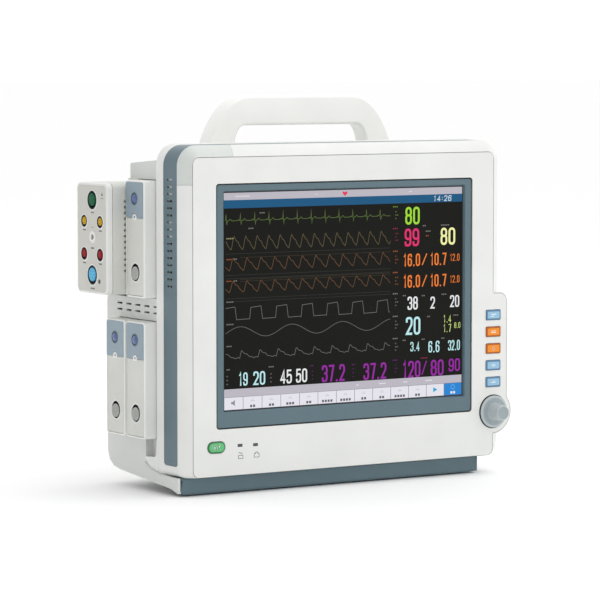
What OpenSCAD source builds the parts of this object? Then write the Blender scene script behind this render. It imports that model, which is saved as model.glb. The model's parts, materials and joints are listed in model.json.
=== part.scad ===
// Bedside patient monitor with slide-in measurement modules. Units are millimetres.
// X runs to the right for a person who faces the screen, Y runs to the back, Z runs up.
// The origin is the centre of the screw pattern in the underside of the base.
// Inside the modules, a depth is counted backwards from the flat front face.

/* [Front face] */
// Width of the flat front face
face_w = 383.6; // [380:0.2:390]
// Height of the lower edge of the front face above the underside
face_bottom = 18.2; // [17:0.2:20]
// Height of the upper edge of the front face above the underside
face_top = 352.4; // [350:0.2:356]
// How far the sloping border reaches outwards round the front face
bevel = 12.6; // [11:0.2:13]
// Depth at which the sloping border ends
bezel_depth = 11; // [10.5:0.5:12]

/* [Screen] */
// Width of the lit area of the display
active_w = 304.1; // [300:0.1:306]
// Height of the lit area of the display
active_h = 228.1; // [225:0.1:230]
// Height of the middle of the lit area above the underside
screen_z = 201; // [200:0.5:202]
// Width of the opening in the front for the screen frame
window_w = 327; // [325:0.5:328]
// Height of the opening in the front for the screen frame
window_h = 257.2; // [255:0.2:258]
// Height of the middle of that opening above the underside
window_z = 196.2; // [195.5:0.1:197]

/* [Housing] */
// Depth of the back edge of the middle frame
frame_back = 49.5; // [49:0.5:50]
// Depth of the back of the lower housing
housing_back = 166; // [165:0.5:168]
// Depth of the back of the hood at the top
hood_back = 115.5; // [113:0.5:116]
// Height of the ledge between the lower and the upper housing
ledge_z = 202; // [201:0.5:203]
// Wall thickness of the plastic covers
wall = 3; // [2.8:0.1:3.2]

/* [Slide-in modules] */
// Width of a slim module
slim_w = 39.4; // [39:0.1:39.6]
// Height of a slim module
slim_h = 123.2; // [122:0.2:123.4]
// Distance of a slim module's face from the side of the housing
slim_proud = 16.2; // [15:0.2:18]
// Width of the multi-parameter module
multi_w = 65.5; // [64:0.5:66]
// Height of the multi-parameter module
multi_h = 117.5; // [116:0.5:118]
// Distance of the multi-parameter module's face from the side of the housing
multi_proud = 38.1; // [36:0.1:40]

/* [Controls] */
// Distance of the keys and the knob from the middle of the face
control_x = 191.8; // [191:0.1:192.4]
// Height of the top key above the underside
key_top_z = 173.1; // [172:0.1:174]
// Distance between the centres of neighbouring keys
key_pitch = 18.5; // [18:0.1:19]
// Height of the knob's centre above the underside
knob_z = 66.4; // [65:0.1:67]
// Radius of the knob's flared foot
knob_r = 17.7; // [17:0.1:18]
// How far a key travels when pressed
key_travel = 1; // [0.8:0.1:1.2]

/* [Handle] */
// Height of the handle's top above the underside
handle_top = 411; // [409:0.5:413]
// Thickness of the handle from front to back
handle_t = 24; // [22:0.5:26]

/* [Hidden] */
$fn = 64;
hull_fn = 32;

off_white = "#e9eae4";
light_grey = "#c6cbcd";
slate = "#6d7f8c";
pale_grey = "#b9bfc0";
steel = "#9a9da0";
board_green = "#1f6b3a";

// Placing and outlines
front_y = -80;
side_x = face_w / 2 + bevel;
top_z = face_top + bevel;
outer_corner_r = 22;
face_corner_r = 8;
foot_corner_r = 8;
gap = 0.3;
cut = 0.5;

// Screen
window_r = 3.4;
frame_front = 0.8;
glass_front = 3.8;
glass_t = 1.9;
lcd_front = 6;
lcd_t = 11;
lcd_w = 326;
lcd_h = 250;

// Alarm lamp at the upper left corner
lens_end_x = -143;
lens_bottom_z = 324.2;

// Ear at the right of the front, which carries the keys and the knob
ear_right = 212;
ear_top = 198.5;
ear_bottom = 58;
ear_left = 168;
ear_corner_r = 14;
ear_bulge_r = 25.5;

// Keys
key_w = 19.6;
key_h = 10.9;
key_r = 1.2;
key_proud = 1.2;
flange = 1.3;
flange_front = 3.3;
flange_t = 1.2;
stem_r = 2;
stem_end = 10.8;
switch_front = 12;
board_t = 1.6;
power_x = -163.9;
power_z = 49.2;
power_w = 21.4;
power_h = 12.1;
power_proud = 1.4;
power_travel = 1.5;
indicator_w = 6;
indicator_h = 3.2;
indicators = [[-134.7, 49.6], [-115.6, 49.2]];

// Knob and its encoder
knob_length = 20;
knob_foot_gap = 1.2;
shaft_r = 3;
shaft_hole_r = 3.6;
encoder_size = 13;
encoder_front = 4;
encoder_back = 13;

// Middle frame and trim band
frame_wall = 4;
band_back = 38.9;
band_t = 1.9;
band_bottom = 30;
slot_count = 16;
slot_top_z = 329.1;
slot_pitch = 7.41;
slot_length = 10;
slot_h = 2.1;
slot_depth = 26.3;
flare = [[49.4, 54], [51, 38], [79, 28.5], [68, 23], [49.4, 19.2]];

// Rear cover, drawn as a side profile of depth and height
skirt_front = [11.2, 4.6];
lower_profile = [
    skirt_front, [133.5, 15.1], [147, 18], [155, 23.5], [161, 36], [163, 50],
    [housing_back, 187], [158, ledge_z], [49.7, ledge_z], [49.7, 17.9], [11.2, 17.9]
];
hood_top_front = 349;
hood_top_back = 344.4;
hood_corner = 9;
upper_profile = [
    [49.7, ledge_z - 10], [hood_back, ledge_z - 10], [hood_back, hood_top_back - hood_corner],
    [hood_back - 3, hood_top_back - 3], [hood_back - hood_corner, hood_top_back],
    [49.7, hood_top_front]
];
dock_x = 186;
dock_back = 160;
dock_top = 320;
housing_corner_r = 10;
vent_front = 55;
vent_pitch = 19.2;
vent_w = 11;
vent_h = 2;
vent_rows = [194.4, 187.8];
vent_count = 5;
finger_low = [-side_x - cut, frame_back, 35];
finger_high = [-196, 77, 55.3];

// Bays and modules
slim_face_x = -side_x - slim_proud;
slim_length = 128;
slim_r = 3.5;
upper_slim = [51.2, 204.2];
front_slim = [51.2, 55.6];
rear_slim = [93.8, 55.6];
cap_low = 84;
cap_margin = 1.3;
cap_t = 2.2;
cap_proud = 0.5;
tab_r = 4.4;
lamp_r = 1.1;
button_z = 104;
button_r = 5.3;
button_travel = 1.2;
slim_socket_z = 26.5;
slim_socket_r = 10.6;
slim_socket_bore_r = 9.2;
slim_socket_depth = 5;
multi_x = -side_x - multi_proud;
multi_y = 91.6;
multi_z = 206;
multi_r = 6;
multi_split = 7.5;
multi_body = [95.5, 152];
multi_body_z = [211, 315];
multi_body_end = -110;
multi_hole_x = -220.3;
multi_hole_top = 304.4;
multi_hole_pitch = 6.1;
multi_hole_count = 13;
pocket_top = 325;
label_margin = 2.2;
bay_gap = 0.8;
rack_t = 1.2;
rack_back_x = -87;

// Sockets on the multi-parameter module: depth, height, outer radius, bore radius
ecg = [122.8, 305.4, 10.6, 8.6];
temps = [[105.9, 282.6, 7.1, 5.3], [140.3, 282.6, 7.1, 5.3]];
ibps = [[105.9, 247.9, 7.4, 5.6], [140.3, 247.9, 7.4, 5.6]];
spo2 = [122.8, 225.9, 11, 9];
nibp = [122.8, 266.2, 6, 3];
socket_depth = 7.4;
socket_floor = 3;

// Handle: control points of the curve that draws each side of its outline, from the foot up
handle_front = 90.5;
handle_seat_z = 346.4;
handle_outer = [[118.5, handle_seat_z], [113, 376], [96, handle_top], [63, handle_top]];
handle_inner = [[87.5, handle_seat_z - 1], [85, 368], [84, 382.6], [72, 382.6]];
curve_steps = 12;
handle_seat_x = [84, 121];
handle_screw_x = [94, 110];
handle_screw_depth = 103;

// Base and mounting plate
base_left = -200.8;
base_apron_back = 34;
base_half_x = 150;
base_back = 136;
base_corner_r = 9;
skirt_inner = 201.2;
cover_floor = 18;
base_right = 179.4;
base_front = 12;
base_h = 17.6;
plate_half_x = 70;
plate_half_y = 45;
plate_t = 3;
screw_spacing_x = 100;
screw_spacing_y = 60;
screw_r = 2.1;
foot_r = 9;
foot_h = 2;
foot_stem_r = 3;
foot_xs = [-138, 138];
foot_depths = [46, 124];

// Parts inside and at the back
chassis_depth = 22;
chassis_t = 1.5;
board_depth = 30;
psu_low = [60, 58, 26];
psu_high = [165, 122, 76];
battery_low = [112, 66, 118];
battery_high = [195, 110, 184];
door_y = [62, 115];
door_z = [112, 190];
door_t = 2.4;
hinge_r = 3;
pin_r = 1.5;
pin_clear = 0.06;
hinge_depth = 115;
panel_low = [-60, 146, 36];
panel_high = [178, housing_back + 2, 92];
post_spots = [[-178, 38, 161], [192, 104, 164], [-60, 300, 160], [150, 300, 160]];
post_r = 6;
inlet_x = 150;
inlet_z = 60;
inlet_pins = [[-7, -2], [0, 2], [7, -2]];
ground_x = 108;
ground_z = 50;
jack_xs = [-30, -6];
jack_z = 52;
speaker_x = -20;
speaker_z = 140;
speaker_r = 26;
speaker_front = 160;

// Helpers. Each takes depths and moves them into the part's own frame.
module block(low, high)
    translate([low.x, low.y + front_y, low.z]) cube(high - low);

module slab(d0, d1)
    translate([0, d1 + front_y, 0]) rotate([90, 0, 0]) linear_extrude(d1 - d0) children();

module side_slab(x0, x1)
    translate([x0, front_y, 0]) rotate([90, 0, 90]) linear_extrude(x1 - x0) children();

module rod_y(r, d0, d1, x, z)
    translate([x, d1 + front_y, z]) rotate([90, 0, 0]) cylinder(r = r, h = d1 - d0);

module rod_x(r, x0, x1, d, z)
    translate([x0, d + front_y, z]) rotate([0, 90, 0]) cylinder(r = r, h = x1 - x0);

module rod_z(r, z0, z1, x, d)
    translate([x, d + front_y, z0]) cylinder(r = r, h = z1 - z0);

// Rounded rectangle with separate radii for its two upper and two lower corners
module rounded(x0, z0, x1, z1, r_top, r_low) {
    translate([x0, z0 + r_low]) square([x1 - x0, z1 - z0 - r_top - r_low]);
    translate([x0 + r_low, z0]) square([x1 - x0 - 2 * r_low, r_low + 0.01]);
    translate([x0 + r_top, z1 - r_top - 0.01]) square([x1 - x0 - 2 * r_top, r_top + 0.01]);
    for (x = [x0 + r_top, x1 - r_top]) translate([x, z1 - r_top]) circle(r_top);
    for (x = [x0 + r_low, x1 - r_low]) translate([x, z0 + r_low]) circle(r_low);
}

module centred(x, z, w, h, r)
    rounded(x - w / 2, z - h / 2, x + w / 2, z + h / 2, r, r);

// Outline of the front face, and of the frame behind it, both drawn inwards by an inset
module face_outline(inset = 0)
    rounded(-face_w / 2 + inset, face_bottom + inset, face_w / 2 - inset, face_top - inset,
            face_corner_r - min(inset, 4), face_corner_r - min(inset, 4));

module outer_outline(inset = 0)
    rounded(-side_x + inset, face_bottom + inset, side_x - inset, top_z - inset,
            outer_corner_r - inset, foot_corner_r - inset);

// The front's rounded block from the face to the end of the sloping border
module bevel_block(inset, d0, d1)
    hull() {
        slab(d0, d0 + 0.1) face_outline(inset, $fn = hull_fn);
        slab(d1 - 0.1, d1) outer_outline(inset, $fn = hull_fn);
    }

module ear_outline() {
    rounded(ear_left, ear_bottom, ear_right, ear_top, ear_corner_r, 2);
    translate([control_x, knob_z]) circle(ear_bulge_r);
}

module lens_zone(clearance)
    slab(-1, bezel_depth - clearance) difference() {
        union() {
            translate([-side_x - 1, lens_bottom_z + clearance]) square([60, 60]);
            translate([-side_x - 1, face_top - 20]) square([lens_end_x + side_x + 1 - clearance, 60]);
        }
        face_outline(-clearance);
    }

function key_z(index) = key_top_z - (index - 1) * key_pitch;

// Front
module front_bezel() color(off_white)
    difference() {
        union() {
            bevel_block(0, 0, bezel_depth);
            slab(0, bezel_depth) ear_outline();
        }
        bevel_block(wall, wall, bezel_depth + cut);
        lens_zone(0);
        slab(-cut, bezel_depth) centred(0, window_z, window_w, window_h, window_r);
        for (index = [1:5]) {
            slab(-cut, wall + cut)
                centred(control_x, key_z(index), key_w + 2 * gap, key_h + 2 * gap, key_r);
            slab(wall, bezel_depth + cut)
                centred(control_x, key_z(index), key_w + 2 * flange + 1, key_h + 2 * flange + 1, key_r);
        }
        rod_y(shaft_hole_r, -cut, wall + 2, control_x, knob_z);
        block([control_x - encoder_size / 2 - gap, encoder_front - gap, knob_z - encoder_size / 2 - gap],
              [control_x + encoder_size / 2 + gap, bezel_depth + cut, knob_z + encoder_size / 2 + gap]);
        slab(-cut, wall + cut)
            centred(power_x, power_z, power_w + 2 * gap, power_h + 2 * gap, power_h / 2 + gap - 0.01);
        for (place = indicators)
            slab(-cut, wall + cut) centred(place[0], place[1], indicator_w, indicator_h, 0.6);
    }

module screen_frame() color(slate)
    difference() {
        union() {
            slab(frame_front, wall + 0.1)
                centred(0, window_z, window_w - gap, window_h - gap, window_r);
            slab(wall + 0.1, glass_front + glass_t)
                centred(0, window_z, window_w + 5, window_h + 5, window_r);
        }
        slab(glass_front, 8) centred(0, screen_z, active_w + 9, active_h + 9, 2);
        hull() {
            slab(frame_front - 0.2, frame_front - 0.1)
                centred(0, screen_z, active_w + 5, active_h + 5, 2, $fn = hull_fn);
            slab(glass_front, glass_front + 0.1)
                centred(0, screen_z, active_w + 0.2, active_h + 0.2, 1, $fn = hull_fn);
        }
    }

module touch_glass() color("#10141a")
    slab(glass_front, glass_front + glass_t) centred(0, screen_z, active_w + 8.4, active_h + 8.4, 2);

module lcd_panel() color(steel)
    slab(lcd_front, lcd_front + lcd_t) centred(0, window_z + 1.5, lcd_w, lcd_h, 2);

module alarm_lens() color("#dfe6e6")
    intersection() {
        difference() {
            bevel_block(0, 0, bezel_depth);
            bevel_block(wall, wall, bezel_depth + cut);
        }
        lens_zone(0.15);
    }

module alarm_board() color(board_green) {
    block([-188, 7.5, 340], [-148, 7.5 + board_t, 355]);
    for (x = [-182, -172, -162, -152]) block([x - 1.5, 6, 346], [x + 1.5, 7.5, 349]);
}

module indicator_lenses() color("#2c3236")
    for (place = indicators) {
        slab(0.2, wall) centred(place[0], place[1], indicator_w - 0.1, indicator_h - 0.1, 0.6);
        slab(wall, wall + 1) centred(place[0], place[1], indicator_w + 3, indicator_h + 3, 0.6);
    }

module push_key(z, w, h, r, x, proud, travel) {
    slab(-proud, flange_front) centred(x, z, w, h, r);
    slab(flange_front, flange_front + flange_t) centred(x, z, w + 2 * flange, h + 2 * flange, r);
    rod_y(stem_r, flange_front + flange_t, switch_front - 0.1 - travel, x, z);
}

module key_board() color(board_green) {
    block([176, switch_front + 3, key_z(5) - 9], [199.5, switch_front + 3 + board_t, key_z(1) + 9]);
    for (index = [1:5])
        rod_y(1.7, switch_front, switch_front + 1, control_x, key_z(index));
    for (index = [1:5])
        block([control_x - 3, switch_front + 1, key_z(index) - 3],
              [control_x + 3, switch_front + 3, key_z(index) + 3]);
    block([power_x - 14, switch_front + 3, power_z - 9], [power_x + 60, switch_front + 3 + board_t, power_z + 9]);
    rod_y(1.7, switch_front, switch_front + 1, power_x, power_z);
    block([power_x - 3, switch_front + 1, power_z - 3], [power_x + 3, switch_front + 3, power_z + 3]);
}

module power_button() color("#2f9e57")
    push_key(power_z, power_w, power_h, power_h / 2 - 0.01, power_x, power_proud, power_travel);

module front_key(index, tint) color(tint)
    push_key(key_z(index), key_w, key_h, key_r, control_x, key_proud, key_travel);

// Knob, with the shaft that turns it and the plunger that its push works
module encoder_body() color(steel)
    difference() {
        block([control_x - encoder_size / 2, encoder_front, knob_z - encoder_size / 2],
              [control_x + encoder_size / 2, encoder_back, knob_z + encoder_size / 2]);
        rod_y(shaft_r + 0.08, encoder_front - cut, encoder_back + cut, control_x, knob_z);
    }

module encoder_plunger() color("#d8d8d0")
    rod_y(2.2, encoder_back - 2.5, encoder_back + 1.5, control_x, knob_z);

module encoder_shaft() color(steel)
    rod_y(shaft_r, -knob_length + 4, encoder_back - 2.5, control_x, knob_z);

module knob() color("#9da7ad")
    translate([control_x, front_y - knob_foot_gap, knob_z]) rotate([90, 0, 0]) difference() {
        rotate_extrude() polygon([
            [0, 0], [knob_r, 0], [knob_r, 1.6], [16.6, 3.4], [14.2, 5.4], [11.6, 7], [9.6, 8.6], [8.6, 10.4],
            [8.2, 12], [7.9, knob_length - knob_foot_gap - 0.9], [7, knob_length - knob_foot_gap],
            [0, knob_length - knob_foot_gap]
        ]);
        translate([0, 0, -cut]) cylinder(r = shaft_r, h = knob_length - 4 - knob_foot_gap + cut);
    }

// Middle frame, with the trim band in a groove round it
module ring(inset_out, inset_in, d0, d1)
    slab(d0, d1) difference() {
        outer_outline(inset_out);
        outer_outline(inset_in);
    }

function slot_z(index) = slot_top_z - index * slot_pitch;
function slot_open(index) = (index >= 3 && index <= 5) || index >= 9;

module louvre(index, x_in, x_out)
    for (side = [-1, 1])
        block([side > 0 ? x_in : -x_out, slot_depth - slot_length / 2, slot_z(index) - slot_h / 2],
              [side > 0 ? x_out : -x_in, slot_depth + slot_length / 2, slot_z(index) + slot_h / 2]);

module mid_frame() color(off_white)
    difference() {
        union() {
            ring(0, frame_wall, bezel_depth, frame_back);
            for (x = [-side_x, side_x - wall]) side_slab(x, x + wall) polygon(flare);
        }
        difference() {
            ring(-1, 2, bezel_depth - cut, band_back);
            block([-side_x - 5, bezel_depth - 1, -5], [side_x + 5, band_back + 1, band_bottom]);
        }
        for (index = [0:slot_count - 1]) if (slot_open(index)) louvre(index, side_x - 6, side_x + 1);
    }

module trim_band() color(slate)
    difference() {
        ring(0.1, band_t, bezel_depth + 0.1, band_back - 0.1);
        block([-side_x - 5, bezel_depth - 1, -5], [side_x + 5, band_back + 1, band_bottom + 0.1]);
        for (index = [0:slot_count - 1]) louvre(index, side_x - 6, side_x + 1);
    }

// Rear cover: the outer shape, or its cavity when the inset is the wall thickness
module cover_solid(inset) {
    intersection() {
        side_slab(-side_x + inset, side_x - inset) offset(delta = -inset) polygon(lower_profile);
        linear_extrude(500) translate([0, front_y])
            rounded(-side_x + inset, -50, side_x - inset, housing_back + 1 - inset,
                    housing_corner_r - inset, 1);
    }
    intersection() {
        side_slab(-side_x + inset, side_x - inset) offset(delta = -inset) polygon(upper_profile);
        linear_extrude(500) translate([0, front_y])
            rounded(-side_x + inset, -50, side_x - inset, hood_back - inset, housing_corner_r - inset, 1);
    }
    translate([0, front_y, ledge_z - 10]) linear_extrude(dock_top - ledge_z + 10 - inset)
        rounded(-dock_x + inset, 60, dock_x - inset, dock_back - inset, housing_corner_r - inset, 1);
}

module bay_window(module_low)
    block([-side_x - 1, frame_back, module_low[1] - bay_gap],
          [-side_x + wall + cut, module_low[0] + slim_w + bay_gap, module_low[1] + slim_h + bay_gap]);

// Walls that the cover adds inside: the dock's liner, the finger pocket, the connector recess
module cover_walls() {
    block([-dock_x, 91.2, ledge_z - wall], [-dock_x + wall, hood_back - 2, pocket_top + wall]);
    block([-side_x + 1, 91.2, pocket_top], [-dock_x + wall, hood_back - 1, pocket_top + wall]);
    block([-side_x + 1, frame_back + gap, finger_low.z - 2], [finger_high.x + 2, finger_high.y + 2, 54]);
    block([panel_low.x - wall, panel_low.y - wall, panel_low.z - wall],
          [panel_high.x + wall, housing_back - 7, panel_high.z + wall]);
    for (spot = post_spots) rod_y(post_r, 146, spot[2] - 1, spot[0], spot[1]);
    for (side = [-1, 1])
        block([side > 0 ? handle_seat_x[0] : -handle_seat_x[1], 88, handle_seat_z - 11],
              [side > 0 ? handle_seat_x[1] : -handle_seat_x[0], hood_back, handle_seat_z]);
    for (low = [door_z[0] - 7, door_z[1] + gap])
        block([side_x - 7, hinge_depth - 5, low], [side_x - cut, hinge_depth + 5, low + 7 - gap]);
}

// Openings that pass through the cover
module cover_cuts() {
    block([-skirt_inner, 0, -5], [side_x + 1, base_back + 1, cover_floor]);
    block([-side_x + wall, frame_back - 1, cover_floor + wall], [side_x - wall, frame_back + 5, 342]);
    for (x = [-side_x - cut, side_x - wall - gap]) side_slab(x, x + wall + gap + cut) offset(delta = 0.15) polygon(flare);
    bay_window(upper_slim);
    bay_window(front_slim);
    bay_window(rear_slim);
    block([-side_x - 1, 91.2 - cut, ledge_z], [-dock_x, hood_back + 1, pocket_top]);
    block([-dock_x - 1, multi_body[0] - bay_gap, multi_body_z[0] - bay_gap],
          [-dock_x + wall + 1, multi_body[1] + bay_gap, multi_body_z[1] + bay_gap]);
    block(finger_low, finger_high);
    block(panel_low, panel_high);
    for (z = vent_rows, index = [0:vent_count - 1], side = [-1, 1])
        block([side > 0 ? side_x - wall - 1 : -side_x - 1, vent_front + index * vent_pitch - vent_w / 2, z - vent_h / 2],
              [side > 0 ? side_x + 1 : -side_x + wall + 1, vent_front + index * vent_pitch + vent_w / 2, z + vent_h / 2]);
    block([side_x - wall - 1, door_y[0] - gap, door_z[0] - gap],
          [side_x + 1, hinge_depth + hinge_r + gap, door_z[1] + gap]);
    rod_z(pin_r, door_z[0] - 5, door_z[1] + 5, side_x - hinge_r, hinge_depth);
    for (spot = post_spots) {
        rod_y(2.1, 140, spot[2] + 5, spot[0], spot[1]);
        rod_y(4.2, spot[2] - 5, spot[2] + 10, spot[0], spot[1]);
    }
    for (x = handle_screw_x, side = [-1, 1]) rod_z(2.3, 320, handle_seat_z + 1, side * x, handle_screw_depth);
    for (step = [-5:5])
        block([speaker_x + step * 5 - 1, 155, speaker_z - sqrt(900 - 25 * step * step)],
              [speaker_x + step * 5 + 1, housing_back + 3, speaker_z + sqrt(900 - 25 * step * step)]);
    for (x = [30, 84], row = [0:7])
        block([x, dock_back - wall - 1, 226 + row * 8], [x + 44, dock_back + 1, 229 + row * 8]);
    block([inlet_x - 14, panel_low.y - wall - 1, inlet_z - 10.5], [inlet_x + 14, panel_low.y + 1, inlet_z + 10.5]);
    rod_y(3.1, panel_low.y - wall - 1, panel_low.y + 1, ground_x, ground_z);
    for (x = jack_xs)
        block([x - 8.2, panel_low.y - wall - 1, jack_z - 7.2], [x + 8.2, panel_low.y + 1, jack_z + 7.2]);
}

module rear_cover() color(light_grey)
    difference() {
        union() {
            difference() {
                cover_solid(0);
                difference() {
                    cover_solid(wall);
                    block([-250, 0, 0], [250, 300, cover_floor + wall]);
                }
            }
            cover_walls();
        }
        cover_cuts();
    }

// Handle
function bend(p, t) = pow(1 - t, 3) * p[0] + 3 * t * pow(1 - t, 2) * p[1]
    + 3 * t * t * (1 - t) * p[2] + pow(t, 3) * p[3];

module arch(points) {
    half = [for (step = [0:curve_steps]) bend(points, step / curve_steps)];
    polygon(concat(half, [for (step = [curve_steps:-1:0]) [-half[step].x, half[step].y]]));
}

module handle() color(off_white)
    difference() {
        slab(handle_front, handle_front + handle_t) difference() {
            arch(handle_outer);
            arch(handle_inner);
        }
        for (x = handle_screw_x, side = [-1, 1])
            rod_z(2, handle_seat_z - 1, handle_seat_z + 14, side * x, handle_screw_depth);
    }

module handle_screws() color(steel)
    for (x = handle_screw_x, side = [-1, 1]) {
        rod_z(2, handle_seat_z - 11, handle_seat_z + 12, side * x, handle_screw_depth);
        rod_z(4, handle_seat_z - 14, handle_seat_z - 11, side * x, handle_screw_depth);
    }

module rear_screws() color(steel)
    for (spot = post_spots) {
        rod_y(2, 136, spot[2] - 5, spot[0], spot[1]);
        rod_y(3.9, spot[2] - 5, spot[2] - 2, spot[0], spot[1]);
    }

// Base, feet and mounting plate
module base() color(slate)
    difference() {
        union() {
            slab(base_front, base_apron_back) difference() {
                translate([base_left, 0]) square([base_right - base_left, base_h]);
                difference() {
                    translate([base_left - 1, -1]) square(base_corner_r + 1);
                    translate([base_left + base_corner_r, base_corner_r]) circle(base_corner_r);
                }
            }
            block([-base_half_x, base_apron_back, 0], [base_half_x, base_back, base_h]);
        }
        block([-plate_half_x, -front_y - plate_half_y, -1], [plate_half_x, -front_y + plate_half_y, plate_t]);
        for (x = [-1, 1], y = [-1, 1])
            rod_z(2.6, 0, 13, x * screw_spacing_x / 2, -front_y + y * screw_spacing_y / 2);
        for (x = foot_xs, y = foot_depths) rod_z(foot_stem_r, -1, 5, x, y);
        block([-base_half_x + 3, base_apron_back, plate_t + 11], [base_half_x - 3, base_back - 3, base_h + 1]);
    }

module feet() color("#2a2c2e")
    for (x = foot_xs, y = foot_depths) {
        rod_z(foot_r, -foot_h, 0, x, y);
        rod_z(foot_stem_r, 0, 5, x, y);
    }

module mounting_plate() color(steel)
    difference() {
        block([-plate_half_x, -front_y - plate_half_y, 0], [plate_half_x, -front_y + plate_half_y, plate_t]);
        for (x = [-1, 1], y = [-1, 1])
            rod_z(screw_r, -1, plate_t + 1, x * screw_spacing_x / 2, -front_y + y * screw_spacing_y / 2);
    }

// Inner frame and boards
module chassis() color(steel)
    difference() {
        union() {
            block([-186, chassis_depth, 28], [186, chassis_depth + chassis_t, 338]);
            for (spot = post_spots)
                rod_y(post_r - 1, chassis_depth + chassis_t, 146, spot[0], spot[1]);
            block([battery_low.x - 2, chassis_depth + chassis_t, battery_low.z - 3],
                  [battery_high.x, battery_high.y, battery_low.z - 1]);
            block([186, chassis_depth, 84], [198, chassis_depth + chassis_t, 110]);
        }
        for (spot = post_spots) rod_y(2.1, 130, 147, spot[0], spot[1]);
        for (x = [-120, -40, 40, 120], z = [70, 300]) rod_y(12, chassis_depth - 1, chassis_depth + 3, x, z);
    }

module main_board() color(board_green) {
    block([-78, board_depth, 96], [106, board_depth + board_t, 286]);
    for (x = [-60, -10, 40]) block([x, board_depth + board_t, 130], [x + 30, board_depth + 4, 160]);
    for (fin = [0:8]) block([10 + fin * 6, board_depth + board_t, 200], [12 + fin * 6, board_depth + 14, 250]);
    for (x = [-66, -22, 22, 66]) block([x, board_depth + board_t, 100], [x + 24, board_depth + 9, 108]);
}

module power_supply() color(steel) block(psu_low, psu_high);

module battery() color("#33383c") block(battery_low, battery_high);

module speaker() color("#2a2c2e")
    translate([speaker_x, front_y + speaker_front, speaker_z]) rotate([90, 0, 0]) difference() {
        union() {
            cylinder(r = speaker_r, h = 3);
            translate([0, 0, 3]) cylinder(r = 14, h = 12);
        }
        translate([0, 0, -1]) cylinder(r = speaker_r - 5, h = 3);
    }

module module_rack() color(steel)
    difference() {
        union() {
            side_slab(rack_back_x, rack_back_x + rack_t)
                polygon([[53.5, 52], [157, 52], [157, 198], [155, 198], [155, 316], [111, 316], [111, 331],
                         [53.5, 331]]);
            block([-192, 53.5, 52.6], [rack_back_x, 136, 54]);
            block([-200, 53.5, 180.4], [rack_back_x, 136, 181.6]);
            block([-200, 91.6, 54], [rack_back_x, 91.6 + rack_t, 180.4]);
            block([-200, 134.6, 54], [rack_back_x, 134.6 + rack_t, 180.4]);
            block([-182.6, 53.5, 202.2], [rack_back_x, 93, 203.4]);
            block([-200, 53.5, 329], [rack_back_x, 93, 330.2]);
            block([-182, 92, 203.4], [rack_back_x, 93, 329]);
            block([-178, 93, 208.4], [rack_back_x, 154, 209.6]);
            block([-178, 153.4, 209.6], [rack_back_x, 154.6, 316]);
        }
        for (place = [upper_slim, front_slim, rear_slim])
            block([rack_back_x - 1, place[0] + 6, place[1] + 40], [rack_back_x + 3, place[0] + 32, place[1] + 84]);
        block([rack_back_x - 1, 108, 236], [rack_back_x + 3, 140, 290]);
    }

module backplane() color(board_green) {
    block([rack_back_x + 3, 56, 92], [rack_back_x + 3 + board_t, 148, 296]);
    for (place = [upper_slim, front_slim, rear_slim])
        block([rack_back_x - 4, place[0] + 8, place[1] + 44], [rack_back_x + 3, place[0] + 30, place[1] + 80]);
    block([-103, 112, 240], [rack_back_x + 3, 136, 286]);
}

// Battery door and its hinge pin
module battery_door() color(light_grey)
    difference() {
        union() {
            block([side_x - door_t, door_y[0], door_z[0]], [side_x, hinge_depth, door_z[1]]);
            rod_z(hinge_r, door_z[0], door_z[1], side_x - hinge_r, hinge_depth);
        }
        rod_z(pin_r + pin_clear, door_z[0] - 1, door_z[1] + 1, side_x - hinge_r, hinge_depth);
        block([side_x - 1, door_y[0] + 4, 144], [side_x + 1, door_y[0] + 9, 158]);
    }

module door_pin() color(steel)
    rod_z(pin_r, door_z[0] - 5, door_z[1] + 5, side_x - hinge_r, hinge_depth);

// Connectors in the recess at the back
module ac_inlet() color("#1d1f21")
    difference() {
        union() {
            block([inlet_x - 25, panel_low.y, inlet_z - 13], [inlet_x + 25, panel_low.y + 2, inlet_z + 13]);
            block([inlet_x - 13.8, panel_low.y - 18, inlet_z - 10.3], [inlet_x + 13.8, panel_low.y, inlet_z + 10.3]);
        }
        difference() {
            block([inlet_x - 12, panel_low.y - 15, inlet_z - 8.2], [inlet_x + 12, panel_low.y + 3, inlet_z + 8.2]);
            for (pin = inlet_pins)
                block([inlet_x + pin.x - 1, panel_low.y - 16, inlet_z + pin.y - 2.5],
                      [inlet_x + pin.x + 1, panel_low.y - 4, inlet_z + pin.y + 2.5]);
        }
    }

module ground_post() color("#c9a94a") {
    rod_y(3, panel_low.y - 6, panel_low.y + 14, ground_x, ground_z);
    rod_y(6, panel_low.y, panel_low.y + 2.5, ground_x, ground_z);
    rod_y(6, panel_low.y - 6, panel_low.y - wall, ground_x, ground_z);
}

module signal_sockets() color(pale_grey)
    for (x = jack_xs) difference() {
        block([x - 8, panel_low.y - 14, jack_z - 7], [x + 8, panel_low.y + 1, jack_z + 7]);
        block([x - 6, panel_low.y - 12, jack_z - 4], [x + 6, panel_low.y + 2, jack_z + 4.4]);
    }

// Slim modules
module slim_case(place) color(off_white)
    difference() {
        side_slab(slim_face_x, slim_face_x + slim_length)
            rounded(place[0], place[1], place[0] + slim_w, place[1] + slim_h, slim_r, slim_r);
        difference() {
            block([slim_face_x - 1, place[0] + cap_margin, place[1] + cap_low],
                  [slim_face_x + cap_t, place[0] + slim_w - cap_margin, place[1] + slim_h - cap_margin]);
            rod_x(tab_r, slim_face_x - 2, slim_face_x + cap_t + 1, place[0] + slim_w / 2, place[1] + cap_low);
        }
        rod_x(button_r + 1.6, slim_face_x, slim_face_x + 9, place[0] + slim_w / 2, place[1] + button_z);
        rod_x(lamp_r, slim_face_x - 1, slim_face_x + 2, place[0] + slim_w / 2, place[1] + cap_low + 1);
        rod_x(slim_socket_r, slim_face_x - 1, slim_face_x + 9, place[0] + slim_w / 2, place[1] + slim_socket_z);
    }

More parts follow.
